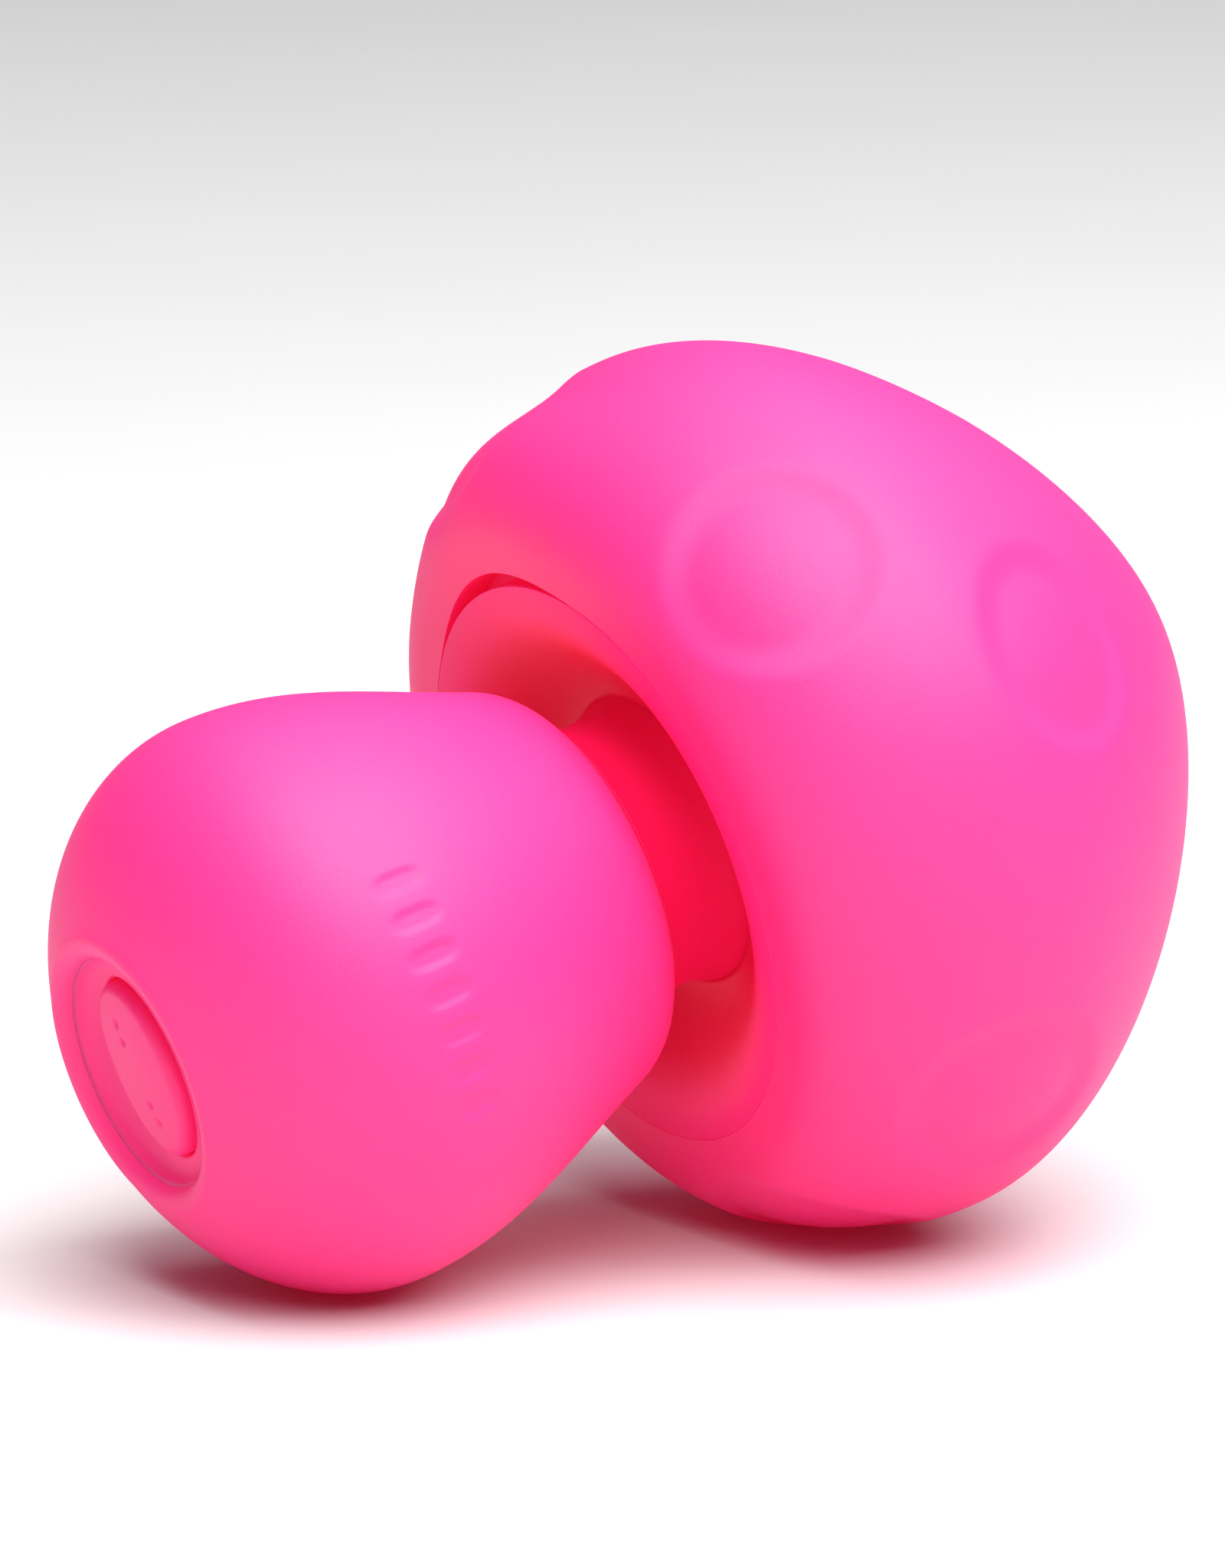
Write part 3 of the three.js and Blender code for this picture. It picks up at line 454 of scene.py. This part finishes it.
PINK = "#ec2f87"
DEEP_PINK = "#e8297d"
skin_finish = silicone("pink silicone, blasted mould", PINK, DEEP_PINK)

# ---- Bulb ------------------------------------------------------------------------------------
# One soft moulding pulled over the stem's shell. Its end has a round well with an oval window
# for the pad, and its far end turns in over the shell with a round shoulder.

BULB_RADIUS = 17.7
BULB_END_LENGTH = 11.9
BULB_END_REACH = 13.4
BULB_TAPER_LENGTH = 25.2
BULB_TAPER_RADIUS = 11.2
SHOULDER_HEIGHT = 31.2
SHOULDER_ROUND = 3.0
NECK_RADIUS = 8.8
GAP = 0.3
STEM_SKIN = 1.8
WELL_RADIUS = 7.1
WELL_DEPTH = 1.5
FLOOR_INSIDE = 2.7
PAD_HALF_LENGTH = 5.45
PAD_HALF_WIDTH = 3.65
PAD_TURN = math.radians(-19.4)
PAD_CLEARANCE = 0.14
WINDOW_RADIUS = 4.8  # of the floor's inner edge before it is pulled to the oval


def bulb_outline(share_end, share_taper):
    """The bulb's outline: a quarter ellipse out to the widest place, radius = R cos(angle)
    and height = end - reach sin(angle), and then a raised cosine that tapers it."""
    angle = math.asin(BULB_END_LENGTH / BULB_END_REACH) * (1 - share_end)
    end_heights = BULB_END_LENGTH - BULB_END_REACH * np.sin(angle)
    end = np.stack([BULB_RADIUS * np.cos(angle), end_heights], axis=1)
    swell = np.cos(math.pi / 2 * share_taper) ** 2
    taper_radius = BULB_TAPER_RADIUS + (BULB_RADIUS - BULB_TAPER_RADIUS) * swell
    taper = np.stack([taper_radius, BULB_END_LENGTH + BULB_TAPER_LENGTH * share_taper], axis=1)
    return np.concatenate([end, taper[1:]])


def oval_radius(turns, half_length, half_width):
    """Distance from the axis to an ellipse turned with the pad, in the direction of a turn."""
    x = np.cos(turns - PAD_TURN) / half_length
    y = np.sin(turns - PAD_TURN) / half_width
    return 1 / np.hypot(x, y)


def sink_mark(grid, turn):
    """Sinks a round-ended slot that lies along the axis into the bulb: the depth falls off
    from its centre line with the distance, as 1 - smoothstep."""
    aside = np.arctan2(grid[..., 1], grid[..., 0]) - turn
    aside = (aside + math.pi) % (2 * math.pi) - math.pi
    off_end = np.maximum(np.abs(grid[..., 2] - MARKS_HEIGHT) - MARK_HALF_LENGTH, 0)
    away = np.hypot(aside * BULB_RADIUS, off_end)
    sink = MARK_DEPTH * (1 - smoothstep(away, 0.35 * MARK_RADIUS, MARK_RADIUS))
    scale = 1 - sink / np.maximum(np.hypot(grid[..., 0], grid[..., 1]), 1)
    grid[..., :2] *= scale[..., None]


bulb_outside = bulb_outline(np.linspace(0, 1, 40), np.linspace(0, 1, 72))
rim_radius = bulb_outside[0, 0]
well = soften(
    [
        (WINDOW_RADIUS, FLOOR_INSIDE, 0),
        (WINDOW_RADIUS, WELL_DEPTH, 0.35),
        (WELL_RADIUS - 0.3, WELL_DEPTH, 0.9),
        (WELL_RADIUS + 0.3, 0.0, 1.0),
        (rim_radius + 0.5, 0.0, 0),
    ]
)[1:-1]
shoulder_low = SHOULDER_HEIGHT - SHOULDER_ROUND
flank = bulb_outside[(bulb_outside[:, 1] > 0.35) & (bulb_outside[:, 1] < shoulder_low)]
bulb_inside = inset(bulb_outside, STEM_SKIN)
between_floors = (bulb_inside[:, 1] > FLOOR_INSIDE) & (bulb_inside[:, 1] < SHOULDER_HEIGHT - STEM_SKIN)
bulb_inside = bulb_inside[between_floors][::-3]
flank_end = flank[-1]
flank_lean = np.divide(*(flank[-1] - flank[-2]))
shoulder_corner = flank_end[0] + flank_lean * (SHOULDER_HEIGHT - flank_end[1])
shoulder = soften(
    [
        (*flank_end, 0),
        (shoulder_corner, SHOULDER_HEIGHT, 0.9 * SHOULDER_ROUND),
        (NECK_RADIUS + GAP, SHOULDER_HEIGHT, 0.12),
        (NECK_RADIUS + GAP, SHOULDER_HEIGHT - STEM_SKIN, 0.3),
        (*bulb_inside[0], 0),
    ],
    steps=10,
)[1:-1]
floor_edge = [(bulb_inside[-1, 0] - 0.3, FLOOR_INSIDE), (WINDOW_RADIUS, FLOOR_INSIDE)]
body_outline = np.concatenate(
    [divided(well, 0.4, closed=False), flank, shoulder, bulb_inside, floor_edge]
)
body_outline = divided(body_outline, 0.5)

# the marks' side of the bulb has the finer columns
MARKS_MIDDLE = math.radians(-100.5)
MARKS_SPREAD = math.radians(33)
marks_columns = np.linspace(-MARKS_SPREAD, MARKS_SPREAD, 150, endpoint=False)
other_columns = np.linspace(MARKS_SPREAD, 2 * math.pi - MARKS_SPREAD, 230, endpoint=False)
body_turns = MARKS_MIDDLE + np.concatenate([marks_columns, other_columns])

body_grid = turned(body_outline, body_turns)
floor_share = 1 - smoothstep(body_outline[:, 0], WINDOW_RADIUS, WELL_RADIUS - 0.6)
floor_share[body_outline[:, 1] > FLOOR_INSIDE + 0.1] = 0
window = oval_radius(body_turns, PAD_HALF_LENGTH + PAD_CLEARANCE, PAD_HALF_WIDTH + PAD_CLEARANCE)
pull = floor_share[:, None] * (window - WINDOW_RADIUS)
body_radius = np.hypot(body_grid[..., 0], body_grid[..., 1])
body_grid[..., :2] *= ((body_radius + pull) / body_radius)[..., None]

# a plain row of seven sunk slots round the bulb
MARKS = 7
MARKS_HEIGHT = 12.9
MARKS_STEP = math.radians(7.6)
MARK_HALF_LENGTH = 0.85
MARK_RADIUS = 0.85
MARK_DEPTH = 0.15
outer_rows = slice(0, int(np.argmax(body_outline[:, 1] > shoulder_low)))
for number in range(MARKS):
    turn = MARKS_MIDDLE + MARKS_STEP * (number - (MARKS - 1) / 2)
    sink_mark(body_grid[outer_rows], turn)

bulb = piece("bulb_skin", body_grid, True, skin_finish)
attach(bulb, "stem")
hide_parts("stem_skin")

# ---- Push pad --------------------------------------------------------------------------------
# An oval silicone pad that stands in the well and slides in its window. Four pips are sunk in
# its face, two towards each end, and a stiff white plate behind it reaches both switches.

PAD_TOP = 0.55
PAD_FOOT = FLOOR_INSIDE
PAD_CROWN = 0.22
PAD_EDGE = 0.7
PIPS = (-3.15, -2.0, 2.0, 3.15)
PIP_RADIUS = 0.42
PIP_DEPTH = 0.15

pad_turns = PAD_TURN + np.linspace(0, 2 * math.pi, 160, endpoint=False)


def pad_surface():
    """Rings of an oval: a crowned face, a quarter-round edge, a straight side and a foot."""
    face = np.linspace(0, 1, 44)[:-1]
    rows = [(PAD_HALF_LENGTH - PAD_EDGE) * face]
    drops = [PAD_TOP + PAD_CROWN * face**2]
    edge_angle = np.linspace(0, math.pi / 2, 10)
    rows.append(PAD_HALF_LENGTH - PAD_EDGE + PAD_EDGE * np.sin(edge_angle))
    drops.append(PAD_TOP + PAD_CROWN + PAD_EDGE * (1 - np.cos(edge_angle)))
    rows.append(np.full(6, PAD_HALF_LENGTH))
    drops.append(np.linspace(drops[-1][-1] + 0.3, PAD_FOOT, 6))
    rows.append(PAD_HALF_LENGTH * np.linspace(0.98, 0, 6))
    drops.append(np.full(6, PAD_FOOT))
    reach = np.concatenate(rows)[:, None]
    height = np.concatenate(drops)[:, None]
    oval = oval_radius(pad_turns, PAD_HALF_LENGTH, PAD_HALF_WIDTH)
    share = np.clip(reach / (PAD_HALF_LENGTH - PAD_EDGE), 0, 1)
    radius = share * (oval - PAD_EDGE) + np.maximum(reach - (PAD_HALF_LENGTH - PAD_EDGE), 0)
    x, y = radius * np.cos(pad_turns), radius * np.sin(pad_turns)
    return np.stack([x, y, height + 0 * radius], axis=-1)


pad_grid = pad_surface()
for place in PIPS:
    centre = place * np.array([math.cos(PAD_TURN), math.sin(PAD_TURN)])
    away = np.linalg.norm(pad_grid[..., :2] - centre, axis=-1)
    on_face = pad_grid[..., 2] < PAD_FOOT - 1
    pad_grid[..., 2] += on_face * PIP_DEPTH * (1 - smoothstep(away, 0.25 * PIP_RADIUS, PIP_RADIUS))
button = piece("button_pad_skin", pad_grid, False, skin_finish)
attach(button, "button")
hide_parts("button_pad")
dress(white_plastic, "button_actuator")

# ---- Rubber core and leads -------------------------------------------------------------------
# A thick rubber tube joins the two shells, held by a flange in each. Two insulated leads run
# beside the cell and through its bore. In the massager all of them bend with the neck; here
# they are drawn at rest and tied to neither the stem nor the cap.

CORE_RADIUS = 6.4
CORE_BORE = 2.4
CORE_FLANGE = 1.5
CORE_WAIST = 1.0
NECK_HIGH = 38.8
core_low, core_high, core_flange_radius = measured("neck_core")
waist_low, waist_high = SHOULDER_HEIGHT + CORE_WAIST, NECK_HIGH - CORE_WAIST
core_outline = soften(
    [
        (CORE_BORE, core_low, 0.3),
        (core_flange_radius, core_low, 0.3),
        (core_flange_radius, core_low + CORE_FLANGE, 0.3),
        (CORE_RADIUS, core_low + CORE_FLANGE, 0.2),
        (CORE_RADIUS, waist_low, 0.6),
        (CORE_RADIUS - CORE_WAIST, waist_low + CORE_WAIST, 0.6),
        (CORE_RADIUS - CORE_WAIST, waist_high - CORE_WAIST, 0.6),
        (CORE_RADIUS, waist_high, 0.6),
        (CORE_RADIUS, core_high - CORE_FLANGE, 0.2),
        (core_flange_radius, core_high - CORE_FLANGE, 0.3),
        (core_flange_radius, core_high, 0.3),
        (CORE_BORE, core_high, 0.3),
    ]
)
rubber = plastic("black rubber", "#2c2c2e", "#222224", 0.7, 0.4, 0.05)
core_grid = turned(divided(core_outline, 0.4), small_turns)
core = piece("neck_core_tube", core_grid, True, rubber)
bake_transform(core)
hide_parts("neck_core")

LEAD_RADIUS = 0.5
LEAD_INSIDE_CORE = 1.1
LEAD_SWING = 3.4  # length of the curve's handles
LEAD_BEND_LOW = cell_high - 1.2
LEAD_BEND_HIGH = core_low + 1.5


def lead_tube(sign):
    """Rings of one radius round a path that goes straight up beside the cell, swings in to the
    core by a cubic curve and goes straight up its bore; each ring is square to the path."""
    low, high, reach = measured("motor_lead_red")
    beside = reach - LEAD_RADIUS
    swing = bezier(
        [
            (beside, LEAD_BEND_LOW),
            (beside, LEAD_BEND_LOW + LEAD_SWING),
            (LEAD_INSIDE_CORE, LEAD_BEND_HIGH - LEAD_SWING),
            (LEAD_INSIDE_CORE, LEAD_BEND_HIGH),
        ],
        28,
    )
    ends = [(beside, low), *swing, (LEAD_INSIDE_CORE, high)]
    path = divided(np.array(ends), 0.6, closed=False)
    tangent = np.gradient(path, axis=0)
    tangent /= np.linalg.norm(tangent, axis=1)[:, None]
    turns = np.linspace(0, 2 * math.pi, 14, endpoint=False)
    outward = LEAD_RADIUS * np.cos(turns)
    radius = sign * (path[:, :1] + tangent[:, 1:] * outward)
    height = path[:, 1:] - tangent[:, :1] * outward
    aside = LEAD_RADIUS * np.sin(turns) + 0 * radius
    x = radius * math.cos(PAD_TURN) - aside * math.sin(PAD_TURN)
    y = radius * math.sin(PAD_TURN) + aside * math.cos(PAD_TURN)
    rings = np.stack([x, y, height], axis=-1)
    caps = [rings[end].mean(axis=0) + 0 * rings[end] for end in (0, -1)]
    return np.concatenate([caps[:1], rings, caps[1:]])


def insulation(name, light, dark):
    """Smooth vinyl with a slow change of tone and faint drawn lines along it."""
    made = Finish(name, IOR=1.5)
    drawn = made.node("ShaderNodeTexNoise", {}, {"Vector": made.aligned(0.12, 8), "Scale": 1.0})
    return made.cover(made.mix(tint(dark), tint(light), made.noise(3)), 0.3 + 0.2 * drawn, drawn, 0.01)


leads = [
    ("red", 1, insulation("red insulation", "#c8302c", "#ad1f20")),
    ("black", -1, insulation("black insulation", "#242426", "#151516")),
]
for colour, sign, finish in leads:
    lead = piece(f"lead_{colour}", lead_tube(sign), False, finish)
    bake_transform(lead)
    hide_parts(f"motor_lead_{colour}")

# ---- Neck ------------------------------------------------------------------------------------
# A silicone sleeve round the rubber core, from inside the bulb's top to inside the collar. In the
# massager it bends when the cap is pushed aside; here it is drawn straight and does not follow the cap.

NECK_LOW = SHOULDER_HEIGHT - STEM_SKIN
NECK_WAIST = 0.4
NECK_FLARE = 1.7  # the sleeve's foot spreads this far over the bulb's shoulder
NECK_SWELL = 0.22  # its far end widens by this to fill the collar's hole
COLLAR_WALL = 1.2  # depth of the collar's hole

round_turns = np.linspace(-math.pi, math.pi, 300, endpoint=False)
neck_inside = NECK_RADIUS - STEM_SKIN
neck_slim = NECK_RADIUS - NECK_WAIST
neck_middle = (SHOULDER_HEIGHT + NECK_HIGH) / 2
on_shoulder = SHOULDER_HEIGHT + 0.03
flare = bezier(
    [
        (NECK_RADIUS + NECK_FLARE, on_shoulder),
        (NECK_RADIUS + 0.4, on_shoulder + 0.1),
        (neck_slim, on_shoulder + 0.9),
        (neck_slim, neck_middle),
    ],
    24,
)
rise = bezier(
    [
        (neck_slim, neck_middle),
        (neck_slim, neck_middle + 1.4),
        (NECK_RADIUS + 0.1, NECK_HIGH - 2),
        (NECK_RADIUS + NECK_SWELL, NECK_HIGH - COLLAR_WALL),
    ],
    16,
)
neck_outline = np.concatenate(
    [
        [(neck_inside, NECK_LOW), (NECK_RADIUS, NECK_LOW), (NECK_RADIUS, on_shoulder)],
        flare,
        rise[1:],
        [(NECK_RADIUS + NECK_SWELL, NECK_HIGH), (neck_inside, NECK_HIGH)],
    ]
)
neck_grid = turned(divided(neck_outline, 0.25), round_turns)
# painted shade: the neck's pinks are deeper because only light that has bounced off pink silicone reaches it
neck_painted_shade_finish = silicone("pink silicone, painted shade", "#e4145a", "#de1254", gloss=0.1, painted_glow=0.17)
neck = piece("neck_sleeve", neck_grid, True, neck_painted_shade_finish)
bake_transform(neck)
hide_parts("neck_skin")

# ---- Head shell ------------------------------------------------------------------------------
# A base and a dome in white ABS, screwed together at the cap's widest place. A cradle on three
# legs stands in the base and holds the motor by its can.

dress(white_plastic, "head_base", "head_dome", "motor_cradle")
dress(steel, "head_screw_1", "head_screw_2", "head_screw_3")

# ---- Motor -----------------------------------------------------------------------------------
# A small direct-current motor: a drawn steel can with two magnets, a black end cap, a brass bush
# and a wound armature on a steel shaft. The half-round brass weight on the shaft shakes the cap.

CAN_WALL = 0.8
BUSH_RADIUS = 2.5
can_low, can_high, can_radius = measured("motor_can")
can_outline = soften(
    [
        (can_radius - CAN_WALL, can_low, 0.2),
        (can_radius, can_low, 0.2),
        (can_radius, can_high, 0.9),
        (BUSH_RADIUS + GAP, can_high, 0.2),
        (BUSH_RADIUS + GAP, can_high - CAN_WALL, 0.2),
        (can_radius - CAN_WALL, can_high - CAN_WALL, 0.4),
    ]
)
can = piece("motor_can_drawn", turned(divided(can_outline, 0.5), small_turns), True, steel)
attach(can, "head")
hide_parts("motor_can")


def windings():
    """Enamelled copper: bands of wire one above the other along the axis, a little uneven."""
    made = Finish("enamelled copper wire", Metallic=0.85)
    bands = {"Vector": made.aligned(1.2, 0.35), "Scale": 0.5, "Distortion": 0.6}
    wires = made.node("ShaderNodeTexWave", {"bands_direction": "Z"}, bands, "Fac")
    colour = made.mix(tint("#7c3f22"), tint("#c0733f"), 0.7 * wires + 0.3 * made.noise(2))
    return made.cover(colour, 0.3 + 0.15 * made.noise(0.8), wires, 0.15)


def sintered():
    """Pressed ferrite: dark grey grains with small open pits."""
    made = Finish("sintered ferrite", Metallic=0.4)
    grain = made.noise(0.3, 5.0)
    pits = made.noise(0.6, 3.0) > 0.67
    colour = made.mix(tint("#414245"), tint("#5a5b5e"), grain)
    return made.cover(colour, 0.55 + 0.2 * grain, grain - 1.0 * pits, 0.05)


dress(black_nylon, "motor_end_cap")
dress(steel, "motor_shaft")
dress(metal("turned brass", "#d6b25c", "#b38c3c", 0.24), "motor_bush", "eccentric_weight")
dress(windings(), "motor_armature")
dress(sintered(), "motor_magnet_1", "motor_magnet_2")

# ---- Collar ----------------------------------------------------------------------------------
# A silicone ring that fills the cap's mouth. Its face is flush with the lip and rolls in to a
# deep floor round the neck, and a flange behind the cap's lip holds it.

LIP_HEIGHT = 33.4
MOUTH_RADIUS = 17.7
SEAM = 0.03
CAP_SKIN = 2.2
COLLAR_RADIUS = MOUTH_RADIUS - SEAM / 2
COLLAR_HOLE = NECK_RADIUS + GAP
COLLAR_FLOOR = 2.5
COLLAR_ROLL = 4.2
FLANGE_LIP_RADIUS = 19.1
FLANGE_RADIUS = 22.0
LIP_INSIDE = LIP_HEIGHT + CAP_SKIN

collar_face = bezier(
    [
        (COLLAR_HOLE, NECK_HIGH - COLLAR_WALL),
        (COLLAR_HOLE + COLLAR_FLOOR, NECK_HIGH - COLLAR_WALL - 0.2),
        (COLLAR_RADIUS - COLLAR_ROLL, LIP_HEIGHT),
        (COLLAR_RADIUS - 0.3, LIP_HEIGHT),
    ],
    30,
)
collar_back = soften(
    [
        (*collar_face[-1], 0),
        (COLLAR_RADIUS, LIP_HEIGHT, 0.05),
        (COLLAR_RADIUS, LIP_INSIDE + 0.3, 0.1),
        (FLANGE_LIP_RADIUS, LIP_INSIDE + 0.3, 0.1),
        (FLANGE_RADIUS, LIP_INSIDE + 1.6, 0.3),
        (FLANGE_RADIUS, NECK_HIGH, 0.3),
        (COLLAR_HOLE, NECK_HIGH, 0.3),
        (*collar_face[0], 0),
    ]
)[1:-1]
collar_outline = divided(np.concatenate([collar_face, collar_back]), 0.6)
# painted shade: towards the neck it fades to a darker red, as the neck's pinks do
collar_painted_shade = ("#d80c4a", 16.4, 12.5)
collar_finish = silicone("pink silicone, painted shade inside", PINK, DEEP_PINK, 0.2, 0.17, collar_painted_shade)
collar = piece("collar_skin", turned(collar_outline, round_turns), True, collar_finish)
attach(collar, "head")
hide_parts("cap_collar")

# ---- Cap -------------------------------------------------------------------------------------
# A thick silicone hood, pulled over the head's shell. Shallow round dents are stamped all over
# it, and its lip stands off the collar on one side, where the skin has been pulled askew.

LIP_RADIUS = 19.4
CAP_RADIUS = 27.7
CAP_WIDEST = 46.5
TIP_HEIGHT = 73.1
DENT_RADIUS = 6.2
DENT_DEPTH = 0.58
DENT_EDGE = (0.72, 1.14)  # where the edge starts and ends, as shares of the radius
# height above the lip's crest, and turn round the axis in degrees
DENTS = [
    (6.2, -137.5),
    (20.7, -112.6),
    (9.9, -56.4),
    (6.1, 152),
    (27.3, 175),
    (4.2, -15),
    (11.4, 42),
    (8, 97),
    (23.2, 58),
]
GAPE = 0.95
GAPE_TURN = math.radians(161)
GAPE_SPREAD = math.radians(36)
GAPE_HEIGHT = 9.0

dome = bezier(
    [
        (0, TIP_HEIGHT),
        (0.32 * CAP_RADIUS, TIP_HEIGHT),
        (CAP_RADIUS, CAP_WIDEST + 0.4 * (TIP_HEIGHT - CAP_WIDEST)),
        (CAP_RADIUS, CAP_WIDEST),
    ],
    96,
)
skirt_length = CAP_WIDEST - LIP_HEIGHT
skirt = bezier(
    [
        (CAP_RADIUS, CAP_WIDEST),
        (CAP_RADIUS, CAP_WIDEST - 0.52 * skirt_length),
        (LIP_RADIUS + 0.51 * (CAP_RADIUS - LIP_RADIUS), LIP_HEIGHT),
        (LIP_RADIUS, LIP_HEIGHT),
    ],
    48,
)
cap_outside = np.concatenate([dome, skirt[1:]])
cap_inside = inset(cap_outside[::-1], CAP_SKIN)
cap_inside = cap_inside[(cap_inside[:, 1] > LIP_INSIDE + 0.2) & (cap_inside[:, 0] > 0.5)][::4]
mouth = soften(
    [
        (LIP_RADIUS, LIP_HEIGHT, 0),
        (COLLAR_RADIUS + SEAM, LIP_HEIGHT, 0.05),
        (COLLAR_RADIUS + SEAM, LIP_INSIDE, 0.2),
        (cap_inside[0, 0], LIP_INSIDE, 0),
    ]
)[1:-1]
cap_outline = np.concatenate(
    [cap_outside, mouth, cap_inside, [(0, TIP_HEIGHT - CAP_SKIN)]]
)
cap_turns = np.linspace(-math.pi, math.pi, 440, endpoint=False)
cap_grid = turned(cap_outline, cap_turns)

# the lip is pushed out where it gapes: the radius grows by a raised cosine round the mouth,
# and by less the higher the skin is above the lip
from_gape = (cap_turns - GAPE_TURN + math.pi) % (2 * math.pi) - math.pi
share_round = np.cos(np.clip(from_gape / GAPE_SPREAD, -1, 1) * math.pi / 2) ** 2
share_up = 1 - smoothstep(cap_outline[:, 1:], LIP_INSIDE, LIP_HEIGHT + GAPE_HEIGHT)
cap_radius = np.maximum(np.hypot(cap_grid[..., 0], cap_grid[..., 1]), 0.001)
cap_grid[..., :2] *= (1 + GAPE * share_up * share_round / cap_radius)[..., None]


def stamp_dent(grid, height, turn):
    """Presses a round dent square into the cap. Across it the depth is that of a slightly
    domed floor, 0.5 + 0.5 (distance / radius)^2, and it fades out over a soft edge."""
    outline = cap_outside[::-1]
    level = LIP_HEIGHT + height
    radius = np.interp(level, outline[:, 1], outline[:, 0])
    step = 0.5
    wider = np.interp(level + step, outline[:, 1], outline[:, 0])
    slimmer = np.interp(level - step, outline[:, 1], outline[:, 0])
    lean = math.atan2(slimmer - wider, 2 * step)
    round_about = np.array([math.cos(turn), math.sin(turn), 0])
    centre = radius * round_about + np.array([0, 0, level])
    outward = math.cos(lean) * round_about + np.array([0, 0, math.sin(lean)])
    offset = grid - centre
    out = offset @ outward
    away = np.linalg.norm(offset - out[..., None] * outward, axis=-1)
    share = away / DENT_RADIUS
    floor = 0.5 + 0.5 * np.minimum(share, 1) ** 2
    edge = 1 - smoothstep(share, *DENT_EDGE)
    sink = DENT_DEPTH * floor * edge * (out > -DENT_RADIUS)
    grid -= sink[..., None] * outward


for height, turn in DENTS:
    stamp_dent(cap_grid[: len(cap_outside)], height, math.radians(turn))
cap = piece("cap_skin_dented", cap_grid, False, skin_finish)
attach(cap, "head")
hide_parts("cap_skin")

# ---- Stage -----------------------------------------------------------------------------------
# A plain pale floor under soft studio light, and a long lens from the front and a little above.

FLOOR_REACH = 6.0
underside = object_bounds()[0][2]
corner_signs = [(-1, -1), (1, -1), (1, 1), (-1, 1)]
floor_corners = [(x * FLOOR_REACH, y * FLOOR_REACH, underside) for x, y in corner_signs]
floor_mesh = bpy.data.meshes.new("floor")
floor_mesh.from_pydata(floor_corners, [], [(0, 1, 2, 3)])
floor = bpy.data.objects.new("floor", floor_mesh)
bpy.context.scene.collection.objects.link(floor)
paper = Finish("pale paper")
paper.cover(paper.mix(tint("#dad9da"), tint("#d6d5d6"), paper.noise(60)), 0.9)
floor_mesh.materials.append(paper.material)

world = bpy.data.worlds.new("studio")
bpy.context.scene.world = world
world.use_nodes = True
world.node_tree.nodes["Background"].inputs["Color"].default_value = (1.0, 0.98, 1.0, 1.0)
world.node_tree.nodes["Background"].inputs["Strength"].default_value = 0.08

MIDDLE_HEIGHT = 33
middle = Vector(spot(MIDDLE_HEIGHT))


def soft_light(name, azimuth, elevation, distance, size, power):
    """A square lamp that faces the massager's middle from an azimuth and elevation."""
    lamp = bpy.data.lights.new(name, "AREA")
    lamp.size = size
    lamp.energy = power
    holder = bpy.data.objects.new(name, lamp)
    turn, lift = math.radians(azimuth), math.radians(elevation)
    out = Vector((math.sin(turn) * math.cos(lift), -math.cos(turn) * math.cos(lift), math.sin(lift)))
    holder.location = middle + distance * out
    holder.rotation_euler = out.to_track_quat("Z", "Y").to_euler()
    bpy.context.scene.collection.objects.link(holder)


soft_light("key", azimuth=-4, elevation=60, distance=0.7, size=0.8, power=10.5)
soft_light("overhead", azimuth=70, elevation=74, distance=1.8, size=3.4, power=54.0)

AZIMUTH = math.radians(-31)
ELEVATION = math.radians(9.9)
LENS = 200
SENSOR = 36
SEEN = 93.2 * MM  # length of the view's longer side at the massager
AIM_HEIGHT = 32.74
AIM_RIGHT = 1.09
AIM_ABOVE = 5.05
level = math.cos(ELEVATION)
back = Vector((math.sin(AZIMUTH) * level, -math.cos(AZIMUTH) * level, math.sin(ELEVATION)))
right = Vector((math.cos(AZIMUTH), math.sin(AZIMUTH), 0))
above = back.cross(right)
target = Vector(spot(AIM_HEIGHT)) + AIM_RIGHT * MM * right + AIM_ABOVE * MM * above
lens = bpy.data.cameras.new("camera")
lens.lens = LENS
lens.sensor_width = SENSOR
camera = bpy.data.objects.new("camera", lens)
camera.location = target + back * (SEEN * LENS / SENSOR)
camera.rotation_euler = back.to_track_quat("Z", "Y").to_euler()
bpy.context.scene.collection.objects.link(camera)
bpy.context.scene.camera = camera
bpy.context.scene.view_settings.view_transform = "Standard"
